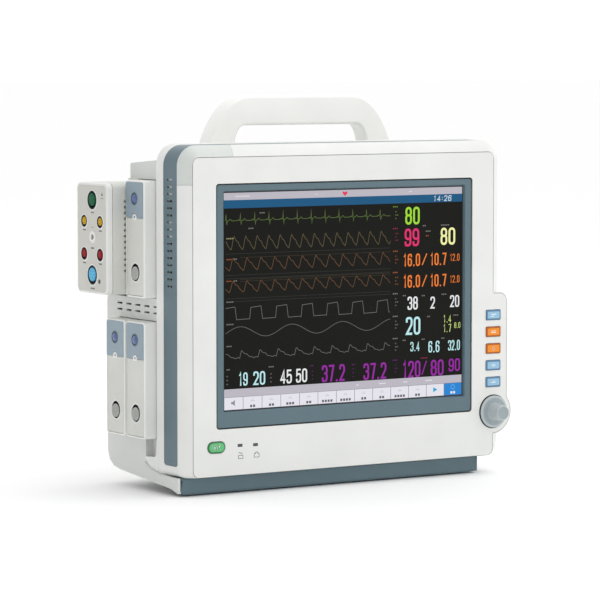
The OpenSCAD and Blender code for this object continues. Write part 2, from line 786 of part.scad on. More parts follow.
module slim_cap(place) color(slate)
    difference() {
        block([slim_face_x - cap_proud, place[0] + cap_margin, place[1] + cap_low],
              [slim_face_x + cap_t, place[0] + slim_w - cap_margin, place[1] + slim_h - cap_margin]);
        rod_x(tab_r, slim_face_x - 2, slim_face_x + cap_t + 1, place[0] + slim_w / 2, place[1] + cap_low);
        rod_x(button_r + 0.35, slim_face_x - 2, slim_face_x + cap_t + 1, place[0] + slim_w / 2,
              place[1] + button_z);
    }

module slim_button(place) color("#5b6fb5") {
    translate([slim_face_x, place[0] + slim_w / 2 + front_y, place[1] + button_z]) intersection() {
        translate([8, 0, 0]) sphere(10.2);
        rotate([0, 90, 0]) translate([0, 0, -5]) cylinder(r = button_r, h = 7.5);
    }
    rod_x(button_r + 1.2, slim_face_x + cap_t + 0.2, slim_face_x + 5, place[0] + slim_w / 2, place[1] + button_z);
}

// A round socket: a cup with its contacts flush in the floor
module cup(face_x, depth_y, z, outer_r, bore_r, bore_depth, floor_t)
    difference() {
        rod_x(outer_r, face_x, face_x + bore_depth + floor_t, depth_y, z);
        rod_x(bore_r, face_x - 1, face_x + bore_depth, depth_y, z);
    }

module slim_socket(place) color(pale_grey)
    cup(slim_face_x + 0.8, place[0] + slim_w / 2, place[1] + slim_socket_z, slim_socket_r,
        slim_socket_bore_r, slim_socket_depth, 2);

// Multi-parameter module
module multi_socket_holes()
    for (spot = concat([ecg, spo2, nibp], temps, ibps))
        rod_x(spot[2], multi_x - 2, multi_x + socket_depth + socket_floor + 1.5, spot[0], spot[1]);

module multi_outline(inset = 0)
    rounded(multi_y + inset, multi_z + inset, multi_y + multi_w - inset, multi_z + multi_h - inset,
            multi_r - inset, multi_r - inset);

module multi_case() color(off_white)
    difference() {
        union() {
            side_slab(multi_x + multi_split, -dock_x - 1) multi_outline();
            block([-dock_x - 1, multi_body[0], multi_body_z[0]], [multi_body_end, multi_body[1], multi_body_z[1]]);
        }
        multi_socket_holes();
        for (index = [0:multi_hole_count - 1])
            rod_y(1.1, multi_y - 1, multi_y + 3, multi_hole_x, multi_hole_top - index * multi_hole_pitch);
    }

module multi_face() color(pale_grey)
    difference() {
        union() {
            side_slab(multi_x + 2, multi_x + multi_split - 0.15) multi_outline();
            side_slab(multi_x, multi_x + 2) multi_outline(1.5);
        }
        multi_socket_holes();
    }

module multi_connector() color("#1d1f21")
    block([multi_body_end, 112, 240], [multi_body_end + 6, 136, 286]);

module multi_socket(spot, tint, proud = 0.6) color(tint)
    cup(multi_x - proud, spot[0], spot[1], spot[2] - 0.05, spot[3], socket_depth + proud, socket_floor);

module ecg_socket() multi_socket(ecg, "#0f7a4b");
module temp_sockets() for (spot = temps) multi_socket(spot, "#dcb93a");
module ibp_sockets() for (spot = ibps) multi_socket(spot, "#c4202c");
module spo2_socket() multi_socket(spo2, "#5aaede");
module nibp_port() multi_socket(nibp, off_white);

module key_1() front_key(1, "#8fbce0");
module key_2() front_key(2, "#f0861c");
module key_3() front_key(3, "#f0861c");
module key_4() front_key(4, "#8fbce0");
module key_5() front_key(5, "#8fbce0");

module upper_case() slim_case(upper_slim);
module upper_cap() slim_cap(upper_slim);
module upper_button() slim_button(upper_slim);
module upper_socket() slim_socket(upper_slim);
module front_case() slim_case(front_slim);
module front_cap() slim_cap(front_slim);
module front_button() slim_button(front_slim);
module front_socket() slim_socket(front_slim);
module rear_case() slim_case(rear_slim);
module rear_cap() slim_cap(rear_slim);
module rear_button() slim_button(rear_slim);
module rear_socket() slim_socket(rear_slim);

front_bezel();
screen_frame();
touch_glass();
lcd_panel();
alarm_lens();
alarm_board();
indicator_lenses();
key_board();
encoder_body();
mid_frame();
trim_band();
rear_cover();
handle();
base();
feet();
mounting_plate();
chassis();
module_rack();
backplane();
main_board();
power_supply();
battery();
battery_door();
door_pin();
speaker();
ac_inlet();
ground_post();
signal_sockets();
rear_screws();
handle_screws();
power_button();
key_1();
key_2();
key_3();
key_4();
key_5();
encoder_plunger();
encoder_shaft();
knob();
multi_case();
multi_face();
multi_connector();
ecg_socket();
temp_sockets();
ibp_sockets();
spo2_socket();
nibp_port();
upper_case();
upper_cap();
upper_button();
upper_socket();
front_case();
front_cap();
front_button();
front_socket();
rear_case();
rear_cap();
rear_button();
rear_socket();
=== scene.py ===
"""Bedside patient monitor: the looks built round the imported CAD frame. Sizes are in millimetres.

X runs to the right for a person who faces the screen, "depth" runs back from the flat front face,
and Z runs up from the underside of the base.
"""

import json
import math

import bmesh
import bpy
from mathutils import Matrix, Vector


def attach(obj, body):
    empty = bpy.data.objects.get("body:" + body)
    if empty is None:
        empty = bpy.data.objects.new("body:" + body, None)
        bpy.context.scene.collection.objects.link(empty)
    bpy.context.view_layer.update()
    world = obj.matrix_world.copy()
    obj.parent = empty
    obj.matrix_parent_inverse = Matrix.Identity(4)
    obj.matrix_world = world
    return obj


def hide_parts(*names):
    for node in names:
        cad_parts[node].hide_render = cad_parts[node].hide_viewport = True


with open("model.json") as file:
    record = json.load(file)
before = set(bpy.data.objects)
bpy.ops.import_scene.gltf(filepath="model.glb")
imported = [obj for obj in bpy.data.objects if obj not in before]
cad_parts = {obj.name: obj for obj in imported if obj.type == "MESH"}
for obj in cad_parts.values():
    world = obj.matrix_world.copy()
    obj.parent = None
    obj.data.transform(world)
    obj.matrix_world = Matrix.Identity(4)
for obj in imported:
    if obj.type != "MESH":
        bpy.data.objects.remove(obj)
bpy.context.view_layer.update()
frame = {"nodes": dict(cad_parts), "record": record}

MM = 0.001
FRONT_Y = -80
BODY = "housing"
nodes = frame["nodes"]
slots = {entry["node"]: entry["material_slot"] for entry in frame["record"]["subparts"]}


def at(x, depth, z):
    return Vector((x, depth + FRONT_Y, z)) * MM


# ---------------------------------------------------------------- materials
def linear(colour):
    """Linear values of an sRGB colour given as 0 to 255."""
    return tuple((c / 255 / 12.92) if c <= 10 else ((c / 255 + 0.055) / 1.055) ** 2.4 for c in colour)


def tint(colour, gain):
    return tuple(min(1.0, c * gain) for c in colour) + (1.0,)


def new_material(name):
    material = bpy.data.materials.new(name)
    material.use_nodes = True
    tree = material.node_tree
    return material, tree, tree.nodes["Principled BSDF"], tree.nodes.new("ShaderNodeTexCoord")


def settle(node, **values):
    """Sets a node's inputs, whose names have _ for each space here."""
    for name, value in values.items():
        node.inputs[name.replace("_", " ")].default_value = value


def add_node(tree, kind, **values):
    node = tree.nodes.new("ShaderNode" + kind)
    settle(node, **values)
    return node


def noise(tree, coords, scale, detail=3.0):
    node = add_node(tree, "TexNoise", Scale=scale, Detail=detail)
    tree.links.new(coords.outputs["Object"], node.inputs["Vector"])
    return node.outputs["Fac"]


def spread(tree, source, low, high, start=0.3, end=0.7):
    node = add_node(tree, "MapRange", From_Min=start, From_Max=end, To_Min=low, To_Max=high)
    tree.links.new(source, node.inputs["Value"])
    return node.outputs["Result"]


def paint(tree, target, source, first, second, start=0.3, end=0.7):
    """Varies the colour of an input from first to second with a texture."""
    node = tree.nodes.new("ShaderNodeMix")
    node.data_type = "RGBA"
    settle(node, A=first, B=second)
    tree.links.new(spread(tree, source, 0.0, 1.0, start, end), node.inputs["Factor"])
    tree.links.new(node.outputs["Result"], target)


def plastic(
    name, colour, rough=0.42, grain=0.16, grain_size=0.5, vary=0.03, coat=0.0, ior=1.46, subsurface=0.0):
    """Moulded plastic: a fine spark-eroded grain, faint mottling and uneven gloss."""
    material, tree, shader, coords = new_material(name)
    base = linear(colour)
    mottle = noise(tree, coords, 18.0)
    paint(tree, shader.inputs["Base Color"], mottle, tint(base, 1 - vary), tint(base, 1 + vary))
    smudge = noise(tree, coords, 55.0, 5.0)
    tree.links.new(spread(tree, smudge, rough - 0.05, rough + 0.06), shader.inputs["Roughness"])
    if grain:
        bump = add_node(tree, "Bump", Strength=grain, Distance=0.00012)
        tree.links.new(noise(tree, coords, 1000 / grain_size, 2.0), bump.inputs["Height"])
        tree.links.new(bump.outputs["Normal"], shader.inputs["Normal"])
    settle(shader, IOR=ior, Coat_Weight=coat, Coat_Roughness=0.12, Subsurface_Weight=subsurface,
           Subsurface_Radius=(0.004, 0.004, 0.004))
    return material


def metal(name, colour, rough=0.32):
    """Plated or brushed metal, with fine lines along one direction."""
    material, tree, shader, coords = new_material(name)
    mapping = add_node(tree, "Mapping", Scale=(1.0, 1.0, 40.0))
    tree.links.new(coords.outputs["Object"], mapping.inputs["Vector"])
    lines = add_node(tree, "TexNoise", Scale=60.0)
    tree.links.new(mapping.outputs["Vector"], lines.inputs["Vector"])
    base = linear(colour)
    paint(tree, shader.inputs["Base Color"], lines.outputs["Fac"], tint(base, 0.85), tint(base, 1.08))
    tree.links.new(spread(tree, lines.outputs["Fac"], rough - 0.08, rough + 0.1), shader.inputs["Roughness"])
    settle(shader, Metallic=1.0)
    return material


def lit(name, colour):
    """A lit part of the display, behind the same weakly reflecting front as the rest."""
    material, tree, shader, coords = new_material(name)
    base = linear(colour)
    paint(
        tree, shader.inputs["Emission Color"], noise(tree, coords, 2500.0, 1.0), tint(base, 0.9),
        tint(base, 1.0))
    settle(shader, Emission_Strength=1.0, Base_Color=(0.01, 0.01, 0.01, 1), Roughness=0.35, IOR=1.2)
    return material


def circuit(name):
    """Green circuit board with a faint pattern of tracks."""
    material, tree, shader, coords = new_material(name)
    tracks = add_node(tree, "TexVoronoi", Scale=260.0)
    tree.links.new(coords.outputs["Object"], tracks.inputs["Vector"])
    first, second = tint(linear((30, 110, 62)), 1), tint(linear((18, 78, 44)), 1)
    paint(tree, shader.inputs["Base Color"], tracks.outputs["Distance"], first, second, 0.2, 0.6)
    settle(shader, Roughness=0.35)
    return material


SLATE = (88, 110, 119)
MATERIALS = {
    "off_white": plastic("off_white", (225, 226, 223), rough=0.4),
    "light_grey": plastic("light_grey", (210, 212, 209), rough=0.46, grain=0.25),
    "slate": plastic("slate", SLATE, rough=0.38, grain=0.22),
    "pale_grey": plastic("pale_grey", (198, 197, 191), rough=0.45, grain=0.3),
    "screen_glass": plastic("screen_glass", (17, 17, 13), rough=0.3, grain=0, ior=1.2, vary=0.05),
    "display": metal("display", (150, 152, 154), rough=0.4),
    "lens": plastic("lens", (203, 207, 204), rough=0.3, grain=0.1, coat=0.25, subsurface=0.2),
    "indicator": plastic("indicator", (62, 68, 72), rough=0.25, grain=0.05, coat=0.4),
    "circuit_board": circuit("circuit_board"),
    "steel": metal("steel", (168, 170, 172)),
    "inner_case": plastic("inner_case", (150, 152, 154), rough=0.5),
    "rubber": plastic("rubber", (42, 43, 44), rough=0.75, grain=0.5, grain_size=0.8),
    "black_plastic": plastic("black_plastic", (32, 33, 35), rough=0.45, grain=0.3),
    "brass": metal("brass", (205, 172, 98), rough=0.28),
    # The key colours are darker copies of the key tops: painted shade on the sides of the keys.
    "key_blue": plastic("key_blue", (84, 126, 162), rough=0.35, grain=0.08, coat=0.1),
    "key_orange": plastic("key_orange", (178, 88, 0), rough=0.35, grain=0.08, coat=0.1),
    "power_green": plastic("power_green", (30, 112, 60), rough=0.25, grain=0.05, coat=0.5),
    "knob_grey": plastic("knob_grey", (178, 187, 189), rough=0.3, grain=0.1, coat=0.3),
    "button_blue": plastic("button_blue", (84, 100, 150), rough=0.25, grain=0.0, coat=0.4),
    "port_green": plastic("port_green", (0, 92, 58), rough=0.45, grain=0.1, coat=0, ior=1.25),
    "port_yellow": plastic("port_yellow", (200, 160, 28), rough=0.45, grain=0.1, coat=0, ior=1.25),
    "port_red": plastic("port_red", (150, 6, 14), rough=0.45, grain=0.1, coat=0, ior=1.25),
    "port_blue": plastic("port_blue", (94, 178, 218), rough=0.45, grain=0.1, coat=0, ior=1.25),
}
# Dark grey: real rubber and black edges, and also painted shade, which darkens the socket bores, the gaps
# round the socket cores and the ring round the knob foot.
DARK_RUBBER_AND_SHADE = plastic("dark_rubber_and_gap_shade", (34, 38, 40), rough=0.6, grain=0.2)
# Painted shade: a mid grey for the floor of the groove round the flat face.
GROOVE_SHADE = plastic("groove_shade_grey", (120, 122, 122), rough=0.6, grain=0.2)
PANEL = plastic("panel_grey", (208, 209, 203), rough=0.5, grain=0.3)
INSERT = plastic("insert_grey", (176, 178, 174), rough=0.55, grain=0.5, grain_size=1.2)
# Lighter tops of the keys and the power key; the caps under them are darker copies, painted shade on their
# sides.
KEY_TOPS = {
    "key_blue": plastic("key_blue_top", (144, 186, 212), rough=0.3, grain=0.05, coat=0.15),
    "key_orange": plastic("key_orange_top", (236, 138, 0), rough=0.35, grain=0.05, coat=0.1)}
POWER_TOP = plastic("power_top", (78, 184, 108), rough=0.2, grain=0.03, coat=0.6)
CASE = plastic("module_case", (232, 233, 229), rough=0.42, grain=0.2)
CAP = plastic("cap_slate", (140, 157, 168), rough=0.4, grain=0.2)
# Painted light: a whiter copy of the off-white, which lifts the handle out of the shade of the hood.
HANDLE_LIT = plastic("handle_white_painted_light", (243, 243, 240), rough=0.4)
# Painted shade: a darker copy of the knob grey, for its end face and the hollow in its foot.
KNOB_SHADE = plastic("knob_end", (150, 162, 166), rough=0.4, grain=0.1)
PALE_PRINT = plastic("pale_print", (246, 250, 250), rough=0.5, grain=0.1)
DARK_PRINT = plastic("dark_print", (58, 62, 64), rough=0.5, grain=0.1)


# ---------------------------------------------------------------- mesh tools
def adopt(obj, node=None, slot=None, body=BODY, material=None, smooth=32):
    """Finishes a piece: smooth shading over rounded edges only, its material, by default the one of its
    slot, and its body.
    """
    mesh = obj.data
    for polygon in mesh.polygons:
        polygon.use_smooth = True
    mesh.set_sharp_from_angle(angle=math.radians(smooth))
    normals = obj.modifiers.new("normals", "WEIGHTED_NORMAL")
    normals.keep_sharp = True
    slot = slot or slots[node]
    mesh.materials.clear()
    mesh.materials.append(material or MATERIALS[slot])
    if node:
        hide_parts(node)
    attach(obj, body)
    return obj


def link(name, data):
    obj = bpy.data.objects.new(name, data)
    bpy.context.scene.collection.objects.link(obj)
    return obj


def from_bmesh(name, bm):
    bmesh.ops.remove_doubles(bm, verts=bm.verts, dist=1e-7)
    bmesh.ops.dissolve_degenerate(bm, edges=bm.edges, dist=1e-7)
    bmesh.ops.recalc_face_normals(bm, faces=bm.faces)
    mesh = bpy.data.meshes.new(name)
    bm.to_mesh(mesh)
    bm.free()
    return link(name, mesh)


def loft(name, rings, closed=False):
    """Joins rings of (x, depth, z) points into a skin. A closed loft joins the last ring to the first."""
    bm = bmesh.new()
    rows = [[bm.verts.new(at(*point)) for point in ring] for ring in rings]
    count = len(rings[0])
    pairs = list(zip(rows, rows[1:])) + ([(rows[-1], rows[0])] if closed else [])
    for first, second in pairs:
        for i in range(count):
            j = (i + 1) % count
            bm.faces.new((first[i], first[j], second[j], second[i]))
    if not closed:
        bm.faces.new(rows[0])
        bm.faces.new(list(reversed(rows[-1])))
    return from_bmesh(name, bm)


def evaluated(obj):
    """The object's mesh with its modifiers in it."""
    graph = bpy.context.evaluated_depsgraph_get()
    graph.update()
    return bpy.data.meshes.new_from_object(obj.evaluated_get(graph))


def combine(obj, other, operation):
    """Cuts other out of obj, or keeps what they share, and uses other up."""
    modifier = obj.modifiers.new("boolean", "BOOLEAN")
    modifier.operation = operation
    modifier.solver = "EXACT"
    modifier.object = other
    bpy.context.view_layer.update()
    mesh = evaluated(obj)
    obj.modifiers.clear()
    obj.data = mesh
    bpy.data.objects.remove(other)
    return obj


def cut(obj, other):
    return combine(obj, other, "DIFFERENCE")


def common(obj, other):
    return combine(obj, other, "INTERSECT")


def finish_print(obj, thickness, offset, material, body):
    """Makes a flat print solid, and gives it its material and body."""
    thick = obj.modifiers.new("thick", "SOLIDIFY")
    thick.thickness = thickness * MM
    thick.offset = offset
    obj.data.materials.append(material)
    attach(obj, body)


def join(name, objects):
    bm = bmesh.new()
    for obj in objects:
        bm.from_mesh(obj.data)
    for obj in objects:
        bpy.data.objects.remove(obj)
    mesh = bpy.data.meshes.new(name)
    bm.to_mesh(mesh)
    bm.free()
    return link(name, mesh)


def box(low, high):
    """low and high are (x, depth, z)."""
    bm = bmesh.new()
    size = [b - a for a, b in zip(low, high)]
    middle = [(a + b) / 2 for a, b in zip(low, high)]
    bmesh.ops.create_cube(bm, size=1)
    bmesh.ops.transform(
        bm, matrix=Matrix.Translation(at(*middle)) @ Matrix.Diagonal((*[s * MM for s in size], 1)),
        verts=bm.verts)
    return from_bmesh("box", bm)


def circle(cx, cz, r, count=48, start=0, sweep=360):
    """Points round a centre, anticlockwise. A full circle leaves out the repeated last point."""
    steps = count if sweep == 360 else count + 1
    return [
        (cx + r * math.cos(math.radians(start + sweep * i / count)),
         cz + r * math.sin(math.radians(start + sweep * i / count)))
        for i in range(steps)
    ]


def rounded(x0, z0, x1, z1, r, steps=8):
    """Rounded rectangle, clockwise from the left top. r is one radius, or one for each corner."""
    r = (r,) * 4 if isinstance(r, (int, float)) else r
    centres = (
        (x0 + r[0], z1 - r[0], 180), (x1 - r[1], z1 - r[1], 90), (x1 - r[2], z0 + r[2], 0),
        (x0 + r[3], z0 + r[3], -90))
    points = []
    for (cx, cz, start), radius in zip(centres, r):
        radius = max(radius, 0.01)
        points += circle(cx, cz, radius, steps, start, -90)
    return points


def filleted(points, steps=6, closed=True):
    """Polyline of (x, z, radius) corners, each corner rounded."""
    result = []
    count = len(points)
    for i, point in enumerate(points):
        here = Vector(point[:2])
        radius = point[2] if len(point) > 2 else 0
        if radius <= 0 or (not closed and i in (0, count - 1)):
            result.append(tuple(here))
            continue
        before = (Vector(points[i - 1][:2]) - here)
        after = (Vector(points[(i + 1) % count][:2]) - here)
        angle = before.angle(after) / 2
        if angle > math.pi / 2 - 0.01:
            result.append(tuple(here))
            continue
        reach = min(radius / math.tan(angle), before.length * 0.48, after.length * 0.48)
        radius = reach * math.tan(angle)
        a, b = here + before.normalized() * reach, here + after.normalized() * reach
        centre = here + (before.normalized() + after.normalized()).normalized() * (radius / math.sin(angle))
        va, vb = a - centre, b - centre
        turn = va.angle_signed(vb)
        for k in range(steps + 1):
            result.append(tuple(centre + Matrix.Rotation(-turn * k / steps, 2) @ va))
    return result


def facing(points, depth):
    """2D points on a plane that faces the front."""
    return [(x, depth, z) for x, z in points]


def sideways(points, x):
    """2D points of (depth, z) on a plane that faces the side."""
    return [(x, depth, z) for depth, z in points]


def plate(name, outline, holes=(), low=0.0, high=2.0, edge=0.4, rounds=3, turn="front"):
    """A plate with holes and rounded edges, from depth low to high, or from x low to high on the side."""
    curve = bpy.data.curves.new(name, "CURVE")
    curve.dimensions = "2D"
    curve.fill_mode = "BOTH"
    for points in (outline, *holes):
        spline = curve.splines.new("POLY")
        spline.points.add(len(points) - 1)
        for target, (u, v) in zip(spline.points, points):
            target.co = (u * MM, v * MM, 0, 1)
        spline.use_cyclic_u = True
    curve.extrude = ((high - low) / 2 - edge) * MM
    curve.bevel_depth = edge * MM
    curve.bevel_resolution = rounds
    curve.offset = -edge * MM
    temp = link(name, curve)
    mesh = evaluated(temp)
    bpy.data.objects.remove(temp)
    middle = (low + high) / 2
    if turn == "front":
        matrix = Matrix.Translation((0, (middle + FRONT_Y) * MM, 0)) @ Matrix.Rotation(math.pi / 2, 4, "X")
    else:
        matrix = Matrix(((0, 0, 1, middle * MM), (1, 0, 0, FRONT_Y * MM), (0, 1, 0, 0), (0, 0, 0, 1)))
    mesh.transform(matrix)
    bm = bmesh.new()
    bm.from_mesh(mesh)
    bpy.data.meshes.remove(mesh)
    return from_bmesh(name, bm)


def lathe(name, profile, centre, axis, count=96):
    """A turned piece about the y or x axis through a centre. profile is (radius, distance along it)."""
    rings = []
    for radius, along in profile:
        ring = []
        for u, v in circle(0, 0, max(radius, 0.001), count):
            x, depth, z = centre
            ring.append((x + u, depth + along, z + v) if axis == "y" else (x + along, depth + u, z + v))
        rings.append(ring)
    return loft(name, rings)


def spline(run, t):
    return tuple(
        0.5 * (2 * b + (c - a) * t + (2 * a - 5 * b + 4 * c - d) * t ** 2 + (3 * b - a - 3 * c + d) * t ** 3)
        for a, b, c, d in zip(*run)
    )


def curved(points, steps):
    """Smooth run through profile points."""
    last = len(points) - 1
    result = []
    for i in range(last):
        run = [points[max(0, min(last, i + k))] for k in (-1, 0, 1, 2)]
        result += [spline(run, s / steps) for s in range(steps)]
    return result + [points[-1]]


def soften(node, width):
    """Rounds the edges of a CAD node that stays, and shades it smooth."""
    obj = nodes[node]
    weld = obj.modifiers.new("weld", "WELD")
    weld.merge_threshold = 1e-6
    bevel = obj.modifiers.new("edges", "BEVEL")
    bevel.width = width * MM
    bevel.segments = 2
    bevel.limit_method = "ANGLE"
    bevel.angle_limit = math.radians(35)
    bevel.use_clamp_overlap = True
    obj.modifiers.new("normals", "WEIGHTED_NORMAL").keep_sharp = True
    for polygon in obj.data.polygons:
        polygon.use_smooth = True


for node, obj in nodes.items():
    obj.data.materials.clear()
    obj.data.materials.append(MATERIALS[slots[node]])


# ---------------------------------------------------------------- front face, ear and bevel
FACE_X, FACE_LOW, FACE_TOP = 191.8, 18.2, 352.4
SIDE_X, TOP_Z = 204.4, 365.0
BEZEL_BACK = 11.0
EAR = dict(right=212.0, top=198.5, knob_x=191.8, knob_z=66.4, bulge=25.5)
WINDOW = (-163.5, 67.6, 163.5, 324.8)
KEYS = [(191.8, 173.1 - 18.5 * i) for i in range(5)]
POWER = (-163.9, 49.2)
INDICATORS = [(-134.7, 49.6), (-115.6, 49.2)]
KEY_HOLE = (20.2, 11.5, 1.5)
POWER_HOLE = (22.0, 12.7, 6.2, 12)
KNOB_AXIS = (EAR["knob_x"], EAR["knob_z"])


def ear_points(inset, face_x, low, top, corner):
    """Outline of the face with the ear at its right, drawn inwards by an inset."""
    right, ear_top = EAR["right"] - inset, EAR["top"] - inset
    bulge = EAR["bulge"] - inset
    x, z = EAR["knob_x"], EAR["knob_z"]
    meet = math.degrees(math.acos(min(1, (right - x) / bulge)))
    end = -90 + math.degrees(math.asin(max(-1, min(1, (face_x - x) / bulge))))
    arc = circle(x, z, bulge, 40, meet, end - meet)
    points = [(-face_x, top, corner), (face_x, top, corner), (face_x, ear_top, 2.5), (right, ear_top, 13)]
    points += [(u, v, 0) for u, v in arc]
    points += [(face_x, low, corner), (-face_x, low, corner)]
    return filleted(points, 8)


def centred(x, z, w, h, r, steps=6):
    return rounded(x - w / 2, z - h / 2, x + w / 2, z + h / 2, r, steps)


face_holes = [rounded(*WINDOW, 3.4)]
face_holes += [centred(x, z, *KEY_HOLE) for x, z in KEYS]
face_holes += [centred(*POWER, *POWER_HOLE), circle(*KNOB_AXIS, 3.6)]
face_holes += [centred(x, z, 6.0, 3.2, 0.6) for x, z in INDICATORS]
face = plate(
    "face_panel", ear_points(1.9, FACE_X - 0.3, FACE_LOW + 0.3, FACE_TOP - 0.3, 7), face_holes, low=0.0,
    high=2.6, edge=0.35)
adopt(face, "front_bezel")
# Floor of the groove round the flat face, in grey: painted shade in the groove.
seam = plate(
    "face_seam_shade", ear_points(1.35, FACE_X + 0.35, FACE_LOW + 0.1, FACE_TOP + 0.35, 7.3),
    [rounded(*WINDOW, 3.4)] + face_holes[1:], low=0.62, high=2.4, edge=0.1, rounds=1)
adopt(seam, slot="light_grey", material=GROOVE_SHADE)
backing = plate("key_backing", rounded(179, 88, 205, 184, 3, 4), low=3.9, high=4.3, edge=0.1, rounds=1)
adopt(backing, slot="black_plastic")
power_backing = plate("power_backing", centred(*POWER, 26, 17, 8, 8), low=4.4, high=4.8, edge=0.1, rounds=1)
adopt(power_backing, slot="black_plastic")

CORNER_STEPS = 12
RIGHT_R, LEFT_R = 16.0, 9.0


def frame_ring(grow, depth, shrink=0.0):
    """One ring of the sloping border: grow 0 is the edge of the flat face, 1 the outer edge."""
    x = FACE_X + (SIDE_X - FACE_X) * grow - shrink
    top = FACE_TOP + (TOP_Z - FACE_TOP) * grow - shrink
    low = FACE_LOW + shrink
    r_top = 8 + 14 * grow - shrink * 0.8
    right, left = (max(7 + (r - 7) * grow - shrink * 0.5, 1) for r in (RIGHT_R, LEFT_R))
    return facing(rounded(-x, low, x, top, (r_top, r_top, right, left), CORNER_STEPS), depth)


def slope(t):
    """Grow and depth along the border, a gently crowned slope with a soft outer edge."""
    return t, BEZEL_BACK * (0.82 * t ** 1.15 + 0.18 * t ** 5)


border_rings = [frame_ring(0.02, 0.9), frame_ring(0.025, 0.35), frame_ring(0.045, 0.12)]
border_rings += [frame_ring(*slope(t)) for t in (0.08, 0.2, 0.35, 0.5, 0.65, 0.78, 0.88, 0.95, 0.985, 1.0)]
border_rings += [
    frame_ring(1, BEZEL_BACK), frame_ring(1, BEZEL_BACK, shrink=3.0), frame_ring(0.2, 3.6, shrink=3.0),
    frame_ring(0, 3.4, shrink=3.0), frame_ring(0, 2.8, shrink=2.0)]
LENS_LOW, LENS_END, LENS_GAP = 324.2, -143.0, 0.25


def lens_zone(gap):
    """Block round the lamp at the upper left corner, with a slanted right end."""
    points = [
        (-230, LENS_LOW + gap), (-160, LENS_LOW + gap), (-160, 345), (LENS_END - 0.8 - gap, 345),
        (LENS_END + 5.4 - gap, 385), (-230, 385)]
    return loft("zone", [facing(points, -5), facing(points, 30)])


border = cut(loft("border", border_rings, closed=True), lens_zone(-LENS_GAP))
adopt(border, "front_bezel")
lens = common(loft("lamp_lens", border_rings, closed=True), lens_zone(0))
adopt(lens, "alarm_lens")

# The soft outer rim of the ear, behind the flat face
ear_rim = plate(
    "ear_rim", ear_points(0.0, FACE_X - 8, FACE_LOW + 30, FACE_TOP - 30, 7), low=0.3, high=BEZEL_BACK,
    edge=1.2, rounds=5)
inside = ear_points(1.35, FACE_X + 0.35, FACE_LOW + 0.1, FACE_TOP + 0.35, 7.3)
ear_rim = cut(ear_rim, loft("inside", [facing(inside, -5), facing(inside, 8)]))
shaft_hole = circle(*KNOB_AXIS, 12)
ear_rim = cut(ear_rim, loft("hole", [facing(shaft_hole, -5), facing(shaft_hole, 30)]))
ear_rim = cut(ear_rim, box((-250, -5, 0), (165, 30, 400)))
adopt(ear_rim, "front_bezel")

# Pale surround of each key, proud of the ear
for i, (x, z) in enumerate(KEYS):
    ring = plate(
        f"key_surround_{i + 1}", centred(x, z, 23.0, 14.3, 2.6), [centred(x, z, *KEY_HOLE)], low=-0.25,
        high=1.0, edge=0.3)
    adopt(ring, slot="off_white")
power_ring = plate(
    "power_surround", centred(*POWER, 24.6, 15.3, 7.5, 12), [centred(*POWER, *POWER_HOLE)], low=-0.2,
    high=1.0, edge=0.25)
adopt(power_ring, slot="off_white")

# Keys: a cap in the darker key colour, painted shade on its sides, under a lighter top
for i, (x, z) in enumerate(KEYS):
    name = f"key_{i + 1}"
    cap = plate(f"{name}_cap", centred(x, z, 19.4, 10.7, 1.5), low=-1.0, high=2.6, edge=0.6, rounds=4)
    adopt(cap, name, body=name)
    top = plate(
        f"{name}_top", centred(x + 0.1, z - 0.1, 16.0, 7.7, 1.2), low=-1.22, high=0.2, edge=0.45, rounds=4)
    adopt(top, slot=slots[name], material=KEY_TOPS[slots[name]], body=name)
# The power key's darker green cap is painted shade on its sides, under the lighter top.
power = plate("power_cap", centred(*POWER, 21.2, 11.9, 5.8, 14), low=-1.1, high=2.6, edge=0.6, rounds=4)
adopt(power, "power_button", body="power_button")
power_top = plate("power_top", centred(*POWER, 18.6, 9.3, 4.6, 14), low=-1.42, high=0.2, edge=0.6, rounds=4)
adopt(power_top, slot="power_green", material=POWER_TOP, body="power_button")

# Screen frame: a flat slate frame with a slope down to the glass
ACTIVE_X, ACTIVE_LOW, ACTIVE_TOP = 152.05, 86.95, 315.05
GLASS = 3.8


def window(inset, r):
    return rounded(WINDOW[0] + inset, WINDOW[1] + inset, WINDOW[2] - inset, WINDOW[3] - inset, r)


def active(out, r):
    return rounded(-ACTIVE_X - out, ACTIVE_LOW - out, ACTIVE_X + out, ACTIVE_TOP + out, r)


def frame_loop(inset, r, depth):
    return facing(window(inset, r), depth)


def screen_loop(out, r, depth):
    return facing(active(out, r), depth)


gasket = plate(
    "screen_gasket", window(-0.6, 3.8), [window(1.38, 2.7)], low=1.6, high=3.3, edge=0.15, rounds=1)
adopt(gasket, slot="rubber", material=DARK_RUBBER_AND_SHADE)
screen_frame = loft("screen_surround", [
    frame_loop(1.4, 2.7, 2.65), frame_loop(1.4, 2.7, 1.5), frame_loop(1.5, 2.6, 1.1),
    frame_loop(1.75, 2.4, 0.88), frame_loop(2.2, 2.2, 0.8), screen_loop(2.7, 2.2, 0.8),
    screen_loop(2.4, 2.0, 0.86), screen_loop(2.1, 1.8, 1.1), screen_loop(1.25, 0.9, 3.2),
    screen_loop(1.15, 0.8, 3.6), screen_loop(1.15, 0.8, GLASS - 0.06), screen_loop(2.5, 1, GLASS + 0.4),
    frame_loop(2.5, 1, 3.6), frame_loop(2.2, 1, 2.65)], closed=True)
adopt(screen_frame, "screen_frame")
edge_line = plate(
    "glass_edge", active(2.0, 1), [active(0, 0.3)], low=GLASS - 0.05, high=GLASS + 0.3, edge=0.02, rounds=1)
adopt(edge_line, slot="rubber", material=DARK_RUBBER_AND_SHADE)
glass = plate("display_glass", active(3, 1.5), low=GLASS, high=GLASS + 1.9, edge=0.15, rounds=1)
adopt(glass, "touch_glass")

# ---------------------------------------------------------------- the picture on the display
LAYER = 0.03
pictures = {}


